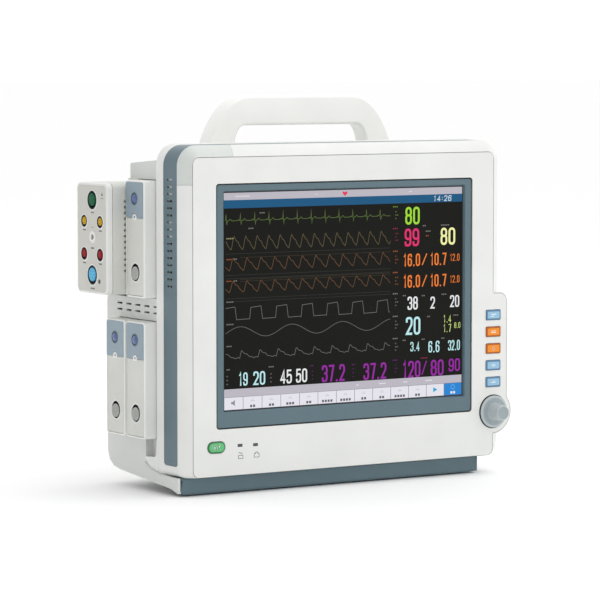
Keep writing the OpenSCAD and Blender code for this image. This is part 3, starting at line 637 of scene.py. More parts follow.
def layer(colour, level):
    """The mesh that gathers all shapes of one colour at one level."""
    if (colour, level) not in pictures:
        pictures[colour, level] = bmesh.new()
    return pictures[colour, level]


def draw(bm, points, level):
    bm.faces.new([bm.verts.new(at(x, GLASS - LAYER * level, z)) for x, z in points])


def patch(x0, z0, x1, z1, colour, level=1):
    draw(layer(colour, level), [(x0, z0), (x1, z0), (x1, z1), (x0, z1)], level)


def ribbon(points, width, colour, level=2, closed=False):
    """A line of constant width through points."""
    bm = layer(colour, level)
    pts = [Vector(p) for p in points]
    count = len(pts)
    sides = []
    for i, p in enumerate(pts):
        before = pts[i - 1] if (closed or i) else None
        after = pts[(i + 1) % count] if (closed or i < count - 1) else None
        one = (p - before).normalized() if before is not None else (after - p).normalized()
        two = (after - p).normalized() if after is not None else one
        middle = (one + two)
        middle = middle.normalized() if middle.length > 1e-6 else one
        stretch = min(1 / max(0.35, middle.dot(one)), 2.0)
        normal = Vector((-middle.y, middle.x)) * (width / 2 * stretch)
        sides.append((p + normal, p - normal))
    for i in range(count if closed else count - 1):
        (a, b), (c, d) = sides[i], sides[(i + 1) % count]
        draw(bm, [tuple(b), tuple(d), tuple(c), tuple(a)], level)


# Strokes of each figure in a box 1 wide and 2 tall: closed or not, then corners with their radii
R = 0.42
FIGURES = {
    "0": [(True, [(0, 0, R), (1, 0, R), (1, 2, R), (0, 2, R)])],
    "1": [(False, [(0.05, 1.6), (0.5, 1.85, 0.2), (0.55, 2.12), (0.55, -0.12)])],
    "2": [(False, [(0, 1.45), (0, 2, R), (1, 2, R), (1, 1.2, 0.5), (0.02, 0.02), (1.12, 0)])],
    "3": [
        (False, [(0, 1.5), (0, 2, R), (1, 2, R), (1, 1.03, 0.3), (0.35, 1.03)]),
        (False, [(0.35, 1.03), (1, 1.03, 0.3), (1, 0, R), (0, 0, R), (0, 0.5)])],
    "4": [(False, [(0.75, -0.12), (0.75, 2), (0, 0.5), (1.15, 0.5)])],
    "5": [(False, [
        (1.05, 2), (0.08, 2), (0.02, 1.05), (0.3, 1.28, 0.2), (1, 1.28, R), (1, 0, R), (0, 0, R), (0, 0.5)
    ])],
    "6": [(False, [(1, 1.5), (1, 2, R), (0, 2, R), (0, 0, R), (1, 0, R), (1, 1.18, R), (0.1, 1.18)])],
    "7": [(False, [(-0.1, 2), (1.02, 2), (0.42, -0.12)])],
    "8": [
        (True, [(0.03, 1.06, R * 0.8), (0.97, 1.06, R * 0.8), (0.97, 2, R), (0.03, 2, R)]),
        (True, [(0, 0, R), (1, 0, R), (1, 1.06, R * 0.8), (0, 1.06, R * 0.8)])],
    "9": [(False, [(0, 0.5), (0, 0, R), (1, 0, R), (1, 2, R), (0, 2, R), (0, 0.82, R), (0.9, 0.82)])],
    "/": [(False, [(0.1, -0.15), (0.9, 2.15)])], ".": [(False, [(0.5, -0.14), (0.5, 0.16)])],
    ":": [(False, [(0.5, 0.45), (0.5, 0.75)]), (False, [(0.5, 1.25), (0.5, 1.55)])]}
CELLS = {"1": 0.8, ".": 0.42, ":": 0.45, "/": 0.9}


def figures(text, x0, z0, x1, z1, colour, weight=0.33, lean=0.0):
    """Figures that fill the box from (x0, z0) to (x1, z1)."""
    gap = 0.62
    widths = [CELLS.get(c, 1.0) for c in text]
    total = sum(widths) + gap * (len(text) - 1) + 0.33
    unit = (x1 - x0) / total
    tall = (z1 - z0) / 2.33
    x = x0 + 0.165 * unit
    for char, width in zip(text, widths):
        for closed, corners in FIGURES[char]:
            line = filleted([(c[0], c[1], c[2] if len(c) > 2 else 0) for c in corners], 5, closed)
            points = [(x + u * width * unit + lean * (v * tall), z0 + (v + 0.165) * tall) for u, v in line]
            ribbon(points, weight * (unit + tall) / 2, colour, 3, closed)
        x += (width + gap) * unit


WHITE = (236, 238, 240)
BAR, BLUE, BUTTON = (190, 186, 196), (2, 84, 128), (232, 230, 240)
GREEN, MAGENTA, LEMON, ORANGE = (160, 222, 52), (226, 40, 110), (246, 246, 170), (246, 128, 44)
CYAN, PURPLE, PALE_GREEN, SILVER = (190, 236, 240), (150, 28, 160), (206, 230, 130), (196, 198, 192)

# Bars at the top and the bottom
patch(-ACTIVE_X, 307.3, ACTIVE_X, 314.9, BAR)
patch(-ACTIVE_X, 298.7, ACTIVE_X, 307.3, BLUE)
patch(-ACTIVE_X, 100.6, ACTIVE_X, 109.0, BAR)
patch(-ACTIVE_X, 87.1, ACTIVE_X, 100.6, (120, 120, 126))
PITCH = 23.4
for i in range(13):
    left = -ACTIVE_X + i * PITCH
    patch(left + 0.25, 87.3, left + PITCH - 0.35, 100.2, (28, 132, 214) if i == 12 else BUTTON, 2)
    middle = left + PITCH / 2
    squares = (0, 2, 2, 3, 2, 4, 4, 2, 2, 4, 2, 0, 2)[i]
    for k in range(squares):
        x = middle + (k - (squares - 1) / 2) * 3.6
        patch(x - 1.3, 88.7, x + 1.3, 91.3, WHITE if i == 12 else (96, 96, 104), 3)
    if i == 0:
        draw(layer((140, 140, 150), 3), [
            (middle - 3, 93), (middle - 1, 93), (middle + 1.5, 91), (middle + 1.5, 97.5), (middle - 1, 95.5),
            (middle - 3, 95.5)], 3)
    elif i == 11:
        draw(layer((16, 170, 210), 3), [(middle - 2.6, 91.5), (middle + 3, 94.2), (middle - 2.6, 97)], 3)
    elif i == 12:
        ribbon(circle(middle, 96, 2.4, 16), 0.5, (120, 190, 240), 3, True)
    else:
        ribbon([(middle - 2.5, 95.6), (middle + 2.5, 95.6)], 0.7, (198, 196, 206), 3)
        ribbon([(middle - 1.2, 97), (middle + 1.2, 97)], 0.6, (206, 204, 214), 3)

heart = [(0, -2.6), (3.2, 0.6), (2.6, 2.2), (1.2, 2.3), (0, 1.2), (-1.2, 2.3), (-2.6, 2.2), (-3.2, 0.6)]
draw(layer((236, 40, 84), 3), [(-0.8 + x, 310.9 + z) for x, z in heart], 3)
for x0, x1 in ((-138, -120), (-38, -36), (82, 86)):
    patch(x0, 310.4, x1, 311.8, (214, 212, 218), 2)
for x0, x1 in ((14, 17), (43, 52), (75, 80), (104, 113)):
    patch(x0, 104.2, x1, 105.5, (220, 218, 226), 2)
figures("14:26", 113.9, 299.7, 137.6, 305.9, (206, 224, 236), 0.3, 0.12)

# Values
for text, x0, z0, x1, z1, colour in (
    ("80", 77.2, 275.2, 95.8, 294.7, GREEN), ("99", 76.4, 251.6, 95.2, 271.3, MAGENTA),
    ("80", 123.7, 251.8, 142.9, 270.9, LEMON), ("16.0", 74.8, 230.0, 96.4, 243.9, ORANGE),
    ("10.7", 110.3, 230.0, 131.2, 243.6, ORANGE), ("16.0", 74.8, 206.9, 96.4, 220.8, ORANGE),
    ("10.7", 110.3, 206.9, 131.2, 220.5, ORANGE), ("38", 80.4, 182.8, 93.6, 197.4, WHITE),
    ("2", 110.5, 182.9, 116.3, 196.2, WHITE), ("20", 136.6, 183.4, 148.6, 196.8, WHITE),
    ("20", 78.3, 155.4, 97.0, 175.4, CYAN), ("3.4", 84.2, 137.5, 96.0, 148.0, CYAN),
    ("6.6", 108.0, 135.0, 122.4, 147.8, CYAN), ("32.0", 134.2, 136.0, 149.6, 147.6, CYAN),
    ("120", 74.2, 108.9, 97.2, 127.5, PURPLE), ("80", 111.2, 109.4, 128.0, 127.2, PURPLE),
    ("90", 135.0, 113.0, 149.9, 127.2, PURPLE), ("19", -134.0, 111.8, -123.2, 126.1, CYAN),
    ("20", -116.0, 111.6, -101.4, 126.3, CYAN), ("45", -82.4, 111.2, -68.2, 126.2, WHITE),
    ("50", -62.7, 111.4, -48.9, 126.4, WHITE), ("37.2", -30.0, 110.0, -0.9, 128.6, PURPLE),
    ("37.2", 23.2, 109.6, 52.6, 127.8, PURPLE),
):
    figures(text, x0, z0, x1, z1, colour)
for z0, z1 in ((231.0, 243.4), (207.6, 220.0), (111.5, 126.4)):
    ribbon([(99.4, z0), (105.4, z1)], 1.3, PURPLE if z0 < 150 else ORANGE, 3)
for text, x0, z0, x1, z1, colour in (
    ("12.0", 136.4, 234.0, 148.8, 242.0, ORANGE), ("12.0", 136.4, 210.2, 148.8, 218.4, ORANGE),
    ("1.4", 127.8, 166.9, 138.0, 175.3, PALE_GREEN), ("1.7", 127.8, 156.4, 138.0, 165.4, PALE_GREEN),
    ("8.0", 142.2, 160.3, 150.2, 166.9, PALE_GREEN),
):
    figures(text, x0, z0, x1, z1, colour, 0.26)


# Waves: each is a height between 0 and 1 for a place in the beat between 0 and 1
def bell(t, centre, width):
    return math.exp(-((t - centre) / width) ** 2)


BEAT = ((0.07, 0.3, 0.05), (0.64, 0.44, 0.018), (-0.36, 0.49, 0.018), (0.12, 0.72, 0.07))


def heart_wave(t):
    return 0.36 + sum(size * bell(t, centre, width) for size, centre, width in BEAT)


def pulse_wave(t, notch=0.12):
    rise = 0.5 - 0.5 * math.cos(math.pi * min(t / 0.3, 1))
    fall = 1 - (max(t - 0.3, 0) / 0.7) ** 0.8
    return max(0.0, rise * fall + notch * bell(t, 0.62, 0.08))


def gas_wave(t):
    if t < 0.5:
        return 0.04 + 0.05 * t
    if t < 0.94:
        return min(1, (t - 0.5) / 0.045) * (0.86 + 0.2 * (t - 0.5))
    return max(0.0, (1 - t) / 0.06) * 0.95


def slow_wave(t):
    return 0.5 - 0.5 * math.cos(2 * math.pi * (t + 0.22))


def flow_wave(t):
    puff = 0.85 * max(0, 1 - (t - 0.1) / 0.55) if t > 0.1 else t * 8.5
    return 0.12 * math.sin(t * 12) ** 2 + puff * (1 if t < 0.65 else 0.2)


WAVE_LEFT, WAVE_RIGHT = -150.0, 57.6


def wave(period, shift, low, high, shape, colour, width=0.55, step=0.45):
    count = int((WAVE_RIGHT - WAVE_LEFT) / step)
    points = []
    for i in range(count + 1):
        x = WAVE_LEFT + (WAVE_RIGHT - WAVE_LEFT) * i / count
        points.append((x, low + (high - low) * shape(((x - WAVE_LEFT) / period + shift) % 1)))
    ribbon(points, width, colour, 2)


wave(17.6, 0.4, 279.8, 296.0, heart_wave, (96, 120, 58), width=0.5)
wave(14.27, 0.55, 255.2, 269.4, pulse_wave, (104, 92, 60))
wave(17.2, 0.75, 233.4, 246.4, pulse_wave, (112, 78, 48))
wave(17.2, 0.75, 210.6, 222.4, pulse_wave, (112, 78, 48))
wave(32.05, 0.58, 181.2, 196.0, gas_wave, (112, 114, 107), step=0.3)
wave(64.0, 0.0, 163.2, 174.2, slow_wave, (104, 108, 100))
wave(22.7, 0.25, 140.9, 149.4, flow_wave, (108, 110, 103))
for z in (251.0, 228.6, 225.0, 204.0, 201.0):
    ribbon([(WAVE_LEFT, z), (WAVE_RIGHT, z)], 0.3, (58, 62, 56), 1)
for z in (246.9, 223.9, 222.0):
    ribbon([(-132, z), (WAVE_RIGHT, z)], 0.25, (76, 62, 44), 1)


# Small unlettered marks where the display has its captions
def marks(x, z, count, colour):
    for k in range(count):
        patch(x + k * 2.3, z, x + k * 2.3 + 1.6, z + 1.6 * 0.8, colour, 3)


def dimmed(colour, gain):
    return tuple(int(c * gain) for c in colour)


for z, colour in (
    (294.5, GREEN), (271.0, MAGENTA), (246.5, ORANGE), (223.5, ORANGE), (200.5, SILVER), (176.0, SILVER),
    (152.0, SILVER), (128.5, PURPLE)):
    marks(61, z, 3, dimmed(colour, 0.62))
    for k in range(3):
        marks(64, z - 5.4 - 3.6 * k, 1 + (k + int(z)) % 2, dimmed(colour, 0.5))
for x, z, count, colour in (
    (-149, 266.5, 4, LEMON), (-149, 244.6, 3, ORANGE), (-140, 244.8, 2, SILVER), (-149, 221.8, 3, ORANGE),
    (-140, 222, 2, SILVER), (-149, 200, 4, SILVER), (-149, 176.5, 4, SILVER), (-149, 153.5, 3, SILVER),
    (-149, 129, 2, SILVER), (-97, 129.5, 3, SILVER), (-108, 292.5, 3, SILVER), (-122, 276.5, 3, SILVER),
    (-45, 128, 2, PURPLE), (8, 126.5, 2, PURPLE), (100, 273, 2, SILVER), (124, 273, 5, SILVER),
    (104, 267, 3, SILVER), (104, 262, 2, ORANGE), (74, 198, 2, SILVER), (99, 197, 2, SILVER),
    (125, 197.5, 3, SILVER), (106, 174, 2, SILVER), (141, 174, 3, SILVER), (74, 149.5, 2, SILVER),
    (99, 149.5, 2, SILVER), (125, 149.5, 2, SILVER), (98, 129, 4, MAGENTA)):
    marks(x, z, count, dimmed(colour, 0.6))
for x in (-149, -95, -43, 9):
    for k in range(3):
        marks(x, 122 - 4.2 * k, 1, dimmed(SILVER if x < -50 else PURPLE, 0.5))

for index, ((colour, level), bm) in enumerate(sorted(pictures.items())):
    picture = from_bmesh(f"picture_{index:02d}", bm)
    finish_print(picture, 0.02, -1, lit(f"lit_{index:02d}", colour), BODY)

# ---------------------------------------------------------------- knob
PROFILE = [
    (0.001, 0), (17.2, 0), (17.7, -0.4), (17.7, -1.6), (17.2, -2.1), (15.8, -2.35), (12.6, -2.5),
    (10.5, -2.9), (9.6, -4.2), (9.1, -8.6), (8.85, -11.6), (8.6, -14.5), (8.3, -17.3), (8.0, -18.3),
    (7.3, -18.75), (6.4, -18.8)]
knob_place, knob_foot = facing([KNOB_AXIS], -1.2)[0], facing([KNOB_AXIS], 0)[0]
knob = lathe(
    "knob_body", PROFILE[:3] + curved(PROFILE[3:12], 3)[1:] + curved(PROFILE[12:], 3)
    + [(6.2, -18.5), (0.001, -18.4)], knob_place, "y")
adopt(knob, "knob", body="knob", smooth=40)
# End face and hollow of the foot in the darker copy of the knob grey: painted shade.
knob_end = lathe("knob_end", [
    (0.001, -18.2), (6.6, -18.2), (7.05, -18.75), (6.9, -19.0), (6.5, -19.05), (5.9, -18.9), (5.4, -18.62),
    (0.001, -18.5)], knob_place, "y")
adopt(knob_end, slot="knob_grey", material=KNOB_SHADE, body="knob")
dish = lathe("knob_dish", [
    (9.0, -2.0), (9.0, -3.4), (10.3, -3.15), (11.2, -2.85), (12.6, -2.66), (14.8, -2.56), (15.3, -2.45),
    (15.4, -2.0)], knob_place, "y")
adopt(dish, slot="knob_grey", material=KNOB_SHADE, body="knob")
# Painted shadow: a dark ring on the face under the foot of the knob, where the gap round the foot lies in
# shade.
knob_shadow_ring = lathe(
    "knob_shadow_ring", [(3.8, 0.2), (3.8, -0.03), (18.5, -0.03), (18.7, 0.0), (18.7, 0.2)], knob_foot, "y")
adopt(knob_shadow_ring, slot="rubber", material=DARK_RUBBER_AND_SHADE)
knob_collar = lathe("knob_collar", [
    (18.6, 0.3), (18.6, -0.35), (18.8, -0.55), (19.6, -0.6), (20.3, -0.4), (20.9, 0.1), (20.9, 0.3)
], knob_foot, "y")
adopt(knob_collar, slot="off_white")

# ---------------------------------------------------------------- frame behind the bezel, and its trim band
FRAME_BACK, BAND_BACK, BAND_LOW = 49.5, 38.9, 30.0


def hoop(inset, depth, flare=0.0):
    x, top, low = SIDE_X - inset + flare, TOP_Z - inset + flare * 0.35, FACE_LOW + inset
    corners = (22 - inset, 22 - inset, max(RIGHT_R - inset, 1), max(LEFT_R - inset, 1))
    return facing(rounded(-x, low, x, top, corners, CORNER_STEPS), depth)


def band_zone(grow):
    outline = rounded(BEZEL_BACK + 0.1 - grow, BAND_LOW - grow, BAND_BACK + grow, 420, (0.5, 0.5, 4, 4))
    return loft("zone", [sideways(outline, -260), sideways(outline, 260)])


def in_band(name, outer, inner, front, back, grow):
    """The part of a ring between two insets that lies in the zone of the band."""
    rings = [hoop(outer, front), hoop(outer, back), hoop(inner, back), hoop(inner, front)]
    return common(loft(name, rings, closed=True), band_zone(grow))


STRIP = [
    (0.35, BEZEL_BACK + 0.05), (0.1, BEZEL_BACK + 0.2), (0, BEZEL_BACK + 0.5), (0, BAND_BACK - 1),
    (0, BAND_BACK + 1.5, 0.2), (0, BAND_BACK + 4, 0.8), (0, BAND_BACK + 6.5, 1.8), (0, BAND_BACK + 8.5, 2.7),
    (0, FRAME_BACK - 1.1, 3.0), (0, FRAME_BACK - 0.4, 2.7), (0, FRAME_BACK, 1.9), (0, FRAME_BACK + 0.2, 0.6),
    (24, FRAME_BACK + 0.2), (24, FRAME_BACK - 1.8), (4.2, FRAME_BACK - 1.8), (4.2, BEZEL_BACK + 0.05),
]
strip = loft("side_frame", [hoop(*ring) for ring in STRIP], closed=True)
strip = cut(strip, in_band("groove", -3, 2.0, BEZEL_BACK - 2, FRAME_BACK + 2, 0.2))
band = in_band("side_band", 0.1, 1.9, BEZEL_BACK - 1, BAND_BACK + 1, 0)
SLOT_COUNT = 16
slot_z = [329.1 - 7.41 * i for i in range(SLOT_COUNT)]
open_slots = [i for i in range(SLOT_COUNT) if i in (3, 4, 5) or i >= 9]


def slot_cutter(chosen):
    boxes = [
        box((side * 207 - 9, 21.3, slot_z[i] - 1.05), (side * 207 + 9, 31.3, slot_z[i] + 1.05))
        for i in chosen for side in (-1, 1)]
    return join("slots", boxes)


band = cut(band, slot_cutter(range(SLOT_COUNT)))
strip = cut(strip, slot_cutter(open_slots))
adopt(band, "trim_band")
adopt(strip, "mid_frame")
# Soft shoulder from the back of the frame down to the hood
SHOULDER = [
    (46, 1.0, 0.6, 21), (FRAME_BACK + 0.3, 1.2, 1.0, 21), (51, 3.2, 3.6, 20), (53, 6.2, 7.6, 18),
    (56, 9.6, 11.8, 15), (60, 12.6, 14.8, 12), (65, 14.6, 16.4, 10), (71, 15.8, 17.0, 9)]


def shoulder_ring(depth, side, top, r):
    x = SIDE_X - side
    return facing(rounded(-x, FACE_LOW + 30, x, TOP_Z - top, (r, r, 4, 4), CORNER_STEPS), depth)


shoulder = loft("hood_shoulder", [shoulder_ring(*ring) for ring in SHOULDER])
shoulder = cut(shoulder, box((-230, 40, 0), (230, 80, 330)))
adopt(shoulder, slot="light_grey")
# Foot of the frame, which flares back along the lower edge of the housing
FOOT = [
    (46.5, 16), (50, 20.0), (65.6, 25.5), (83, 34.8), (70, 35), (54, 36.6), (51.5, 42), (50.5, 54),
    (46.5, 54)]
FILL = [
    (12.6, 1.5), (30, 6), (60, 15), (88, 24), (88, 38), (78, 31.5), (65.6, 25.0), (49, 19.4), (28, 17.6),
    (12.6, 17.4)]
profile = filleted([(a, b, 4.0) for a, b in FOOT], 8)
WING = ((40, 2.6), (50, 2.5), (54, 1.9), (60, 1.0), (68, 0.4), (90, 0.2))
wing = loft("frame_foot", [hoop(0.1, depth, flare) for depth, flare in WING])
wing = common(wing, loft("zone", [sideways(profile, -230), sideways(profile, -196)]))
adopt(wing, slot="off_white")
fill = plate("foot_fill", FILL, low=-SIDE_X + 0.9, high=-SIDE_X + 5, edge=0.4, turn="side")
adopt(fill, slot="light_grey")
apron = plate(
    "base_apron", rounded(-200.9, -0.1, 179.4, 17.8, (0.8, 0.8, 3.5, 6.0)), low=11.4, high=33.8, edge=2.2,
    rounds=4)
adopt(apron, slot="slate")

# ---------------------------------------------------------------- handle
SEAT, HANDLE_TOP, GRIP_LOW = 346.4, 414.6, 382.6
HANDLE_FRONT, HANDLE_BACK = 90.5, 114.5


def bend(points, t):
    a, b, c, d = (Vector(p) for p in points)
    return tuple(a * (1 - t) ** 3 + 3 * b * t * (1 - t) ** 2 + 3 * c * t * t * (1 - t) + d * t ** 3)


def arch(points, steps=28):
    half = [bend(points, i / steps) for i in range(steps + 1)]
    return half + [(-x, z) for x, z in reversed(half)]


outer = arch(((123.2, SEAT - 3), (115.8, 376), (98.5, HANDLE_TOP), (64, HANDLE_TOP)))
inner = arch(((88, SEAT - 3), (84, 368), (82, GRIP_LOW), (71, GRIP_LOW)))


def section(first, second):
    """Rounded cross-section of the handle between an outer and an inner point."""
    wide = math.dist(first, second)
    step = [(b - a) / wide for a, b in zip(first, second)]
    outline = rounded(0, HANDLE_FRONT, wide, HANDLE_BACK, 3.4, 6)
    return [(first[0] + step[0] * u, depth, first[1] + step[1] * u) for u, depth in outline]


# More sections along the straight bar, so that its shading stays even
middle_out = [(64 - 128 * i / 10, HANDLE_TOP) for i in range(1, 10)]
middle_in = [(71 - 142 * i / 10, GRIP_LOW) for i in range(1, 10)]
half = len(outer) // 2
outer = outer[:half] + middle_out + outer[half:]
inner = inner[:half] + middle_in + inner[half:]
handle = loft("handle_grip", [section(a, b) for a, b in zip(outer, inner)])
# The handle is in the whiter copy of the off-white: painted light.
adopt(handle, "handle", material=HANDLE_LIT)

# ---------------------------------------------------------------- slim modules
SLIM_X, SLIM_W, SLIM_H, SLIM_EDGE = -220.6, 39.4, 123.2, 2.0
SOCKET_HOLE, BUTTON_HOLE = 9.6, 6.9
PLACES = {"upper": (51.2, 204.2), "front": (51.2, 55.6), "rear": (93.8, 55.6)}


def side_ring(place, size, inset, r, x):
    return sideways(rounded(
        place[0] + inset, place[1] + inset, place[0] + size[0] - inset, place[1] + size[1] - inset,
        max(r - inset * 0.6, 0.8)), x)


ROUND = 64


def drum(x0, x1, depth, z, r):
    return loft("drum", [sideways(circle(depth, z, r, ROUND), x) for x in (x0, x1)])


def slim_ring(place, inset, x):
    return side_ring(place, (SLIM_W, SLIM_H), inset, 3.5, x)


def side_lathe(name, profile, x, depth, z):
    return lathe(name, profile, (x, depth, z), "x", ROUND)


for which, place in PLACES.items():
    middle, body = place[0] + SLIM_W / 2, f"{which}_module"
    socket_z, button_z, cap_z = place[1] + 26.5, place[1] + 104, place[1] + 84
    panel = plate(
        f"{which}_panel",
        filleted([
            (place[0] + 2.5, place[1] + 2.5, 2.2), (place[0] + SLIM_W - 2.5, place[1] + 2.5, 2.2),
            (place[0] + SLIM_W - 2.5, cap_z - 0.35), (place[0] + 2.5, cap_z - 0.35)]),
        [circle(middle, socket_z, SOCKET_HOLE)], low=SLIM_X + 0.25, high=SLIM_X + 2.2, edge=0.35, turn="side"
    )
    adopt(panel, slot="light_grey", material=PANEL, body=body)
    rings = [
        slim_ring(place, 2.2, SLIM_X + 1.7), slim_ring(place, 1.95, SLIM_X + 1.5),
        slim_ring(place, 1.85, SLIM_X + 0.2), slim_ring(place, 1.6, SLIM_X)]
    rings += [
        slim_ring(place, SLIM_EDGE * (1 - math.sin(a)) * 0.72, SLIM_X + SLIM_EDGE * (1 - math.cos(a)))
        for a in map(math.radians, (15, 30, 45, 60, 75, 90))]
    rings += [slim_ring(place, 0, SLIM_X + 128)]
    case = loft(f"{which}_shell", rings)
    cutter = join("cutters", [
        drum(SLIM_X - 3, SLIM_X + 9, middle, socket_z, SOCKET_HOLE),
        drum(SLIM_X - 3, SLIM_X + 9, middle, button_z, BUTTON_HOLE)])
    case = cut(case, cutter)
    adopt(case, f"{which}_case", body=body, material=CASE)
    lip = side_lathe(
        f"{which}_socket_lip",
        [
            (9.3, 1.6), (9.3, 0.5), (9.45, 0.15), (9.8, -0.05), (10.4, -0.05), (10.9, 0.2), (11.1, 0.6),
            (11.1, 1.6)],
        SLIM_X + 0.1, middle, socket_z)
    adopt(lip, slot="off_white", body=body)
    # Cap with a notch for the round tab, and a ring round the release button
    notch = circle(middle, cap_z, 4.5, 20, 180, -180)
    low, high = place[0] + 2.0, place[0] + SLIM_W - 1.5
    outline = filleted(
        [(low, cap_z, 0.5)] + [(a, b, 0) for a, b in notch]
        + [(high, cap_z, 0.5), (high, place[1] + SLIM_H - 1.8, 2.6), (low, place[1] + SLIM_H - 1.8, 2.6)])
    cap = plate(
        f"{which}_plate", outline, [circle(middle, button_z, 5.9)], low=SLIM_X - 0.5, high=SLIM_X + 2.2,
        edge=0.45, turn="side")
    adopt(cap, f"{which}_cap", body=body, material=CAP)
    ring = side_lathe(
        f"{which}_button_ring",
        [(5.55, 2.2), (5.55, -0.1), (5.75, -0.45), (6.2, -0.6), (6.6, -0.55), (6.8, -0.2), (6.8, 2.2)],
        SLIM_X - 0.3, middle, button_z)
    adopt(ring, slot="slate", body=body)
    tab = plate(
        f"{which}_tab",
        filleted(
            [(a, b, 0) for a, b in circle(middle, cap_z, 4.1, 20, 180, -180)]
            + [(middle + 4.1, cap_z - 2.4, 2), (middle - 4.1, cap_z - 2.4, 2)]),
        [circle(middle, cap_z + 0.8, 1.25, 20)], low=SLIM_X - 0.6, high=SLIM_X + 1.4, edge=0.4, turn="side")
    adopt(tab, slot="off_white", body=body)
    lamp = lathe(
        f"{which}_lamp", [(0.001, -0.2), (0.7, -0.15), (1.15, 0.2), (1.2, 0.6), (1.2, 1.4)],
        (SLIM_X, middle, cap_z + 0.8), "x", 24)
    adopt(lamp, slot="black_plastic", body=body)
    dome = side_lathe(
        f"{which}_dome",
        [
            (0.001, -2.2), (1.6, -2.08), (3.0, -1.72), (4.1, -1.15), (4.9, -0.45), (5.25, 0.2), (5.3, 1.0),
            (5.3, 2.4)],
        SLIM_X, middle, button_z)
    adopt(dome, f"{which}_button", body=f"{which}_release", smooth=50)
    insert = side_lathe(
        f"{which}_insert",
        [(0.001, 0.4), (6.6, 0.4), (6.9, 0.5), (7.1, 0.8), (7.2, 1.3), (7.2, 7.0), (0.001, 7.0)], SLIM_X,
        middle + 1.2, socket_z - 0.9)
    # The bore round the off-centre insert is lined in dark grey: painted shade in the gap, which is wider on
    # one side.
    liner = side_lathe(
        f"{which}_liner", [(0.001, 6.5), (9.3, 6.5), (9.3, 1.3), (9.55, 1.3), (9.55, 7.4), (0.001, 7.4)],
        SLIM_X, middle, socket_z)
    adopt(liner, slot="black_plastic", body=body, material=DARK_RUBBER_AND_SHADE)
    adopt(insert, f"{which}_socket", body=body, material=INSERT)
    dots = []
    for row in range(-6, 7):
        for column in range(-6, 7):
            a, b = (column + 0.5 * (row % 2)) * 1.25, row * 1.08
            if math.hypot(a, b) < 6.3:
                rings = [
                    sideways(circle(middle + 1.2 + a, socket_z - 0.9 + b, r, 8), SLIM_X + x)
                    for x, r in ((0.5, 0.42), (0.2, 0.38), (0.05, 0.2))]
                dots.append(loft("dot", rings))
    adopt(join(f"{which}_insert_dots", dots), slot="light_grey", body=body, material=INSERT)

# ---------------------------------------------------------------- multi-parameter module
MULTI_X, MULTI = -242.5, (91.6, 206.0)
MULTI_SIZE = (65.5, 117.5)
PORTS = {
    "ecg_socket": [(122.8, 305.4, 10.6, 8.6)],
    "temp_sockets": [(105.9, 282.6, 7.1, 5.3), (140.3, 282.6, 7.1, 5.3)],
    "ibp_sockets": [(105.9, 247.9, 7.4, 5.6), (140.3, 247.9, 7.4, 5.6)],
    "spo2_socket": [(122.8, 225.9, 11.0, 9.0)],
    "nibp_port": [(122.8, 266.2, 6.0, 3.0)],
}
port_places = [spot for spots in PORTS.values() for spot in spots]


def multi_ring(inset, x):
    return side_ring(MULTI, MULTI_SIZE, inset, 6.0, x)


def port_cutter():
    return join("ports", [drum(MULTI_X - 4, MULTI_X + 12, depth, z, r) for depth, z, r, bore in port_places])


SPLIT = MULTI_X + 7.5
MULTI_EDGE = 2.3
rim_rings = [
    multi_ring(2.5, MULTI_X + 0.35), multi_ring(2.35, MULTI_X + 0.3), multi_ring(2.2, MULTI_X + 0.1)]
rim_rings += [
    multi_ring(MULTI_EDGE * (1 - math.sin(a)) * 0.85, MULTI_X + MULTI_EDGE * (1 - math.cos(a)))
    for a in map(math.radians, (10, 25, 40, 55, 70, 90))]
rim_rings += [
    multi_ring(0, SPLIT - 0.9), multi_ring(0.25, SPLIT - 0.6), multi_ring(1.2, SPLIT - 0.5),
    multi_ring(1.3, SPLIT + 0.1)]
rim = cut(loft("module_front", rim_rings), port_cutter())
adopt(rim, "multi_face", slot="off_white", body="multi_module")
label = plate(
    "module_label", rounded(MULTI[0] + 2.6, MULTI[1] + 2.6, MULTI[0] + 62.9, MULTI[1] + 114.9, 4.4),
    [circle(depth, z, r - 0.05) for depth, z, r, bore in port_places], low=MULTI_X + 0.12,
    high=MULTI_X + 0.6, edge=0.08, rounds=1, turn="side")
adopt(label, slot="pale_grey", body="multi_module")
case_rings = [
    multi_ring(1.2, SPLIT), multi_ring(0.25, SPLIT + 0.05), multi_ring(0, SPLIT + 0.35),
    multi_ring(0, -187.6), multi_ring(0.4, -187.1), multi_ring(1.0, -187.0)]
case = loft("module_shell", case_rings)
holes = [loft("hole", [
    facing(circle(-220.3, 304.4 - 6.1 * i, 1.5, 20), 88),
    facing(circle(-220.3, 304.4 - 6.1 * i, 1.5, 20), 96)]) for i in range(13)]
case = cut(case, join("holes", holes))
case = cut(case, port_cutter())
inner_block = plate(
    "module_body", rounded(95.5, 211.0, 152.0, 315.0, 3.0), low=-187.2, high=-110.0, edge=1.2, turn="side")
adopt(case, "multi_case", body="multi_module", material=PANEL)
adopt(inner_block, slot="off_white", body="multi_module")

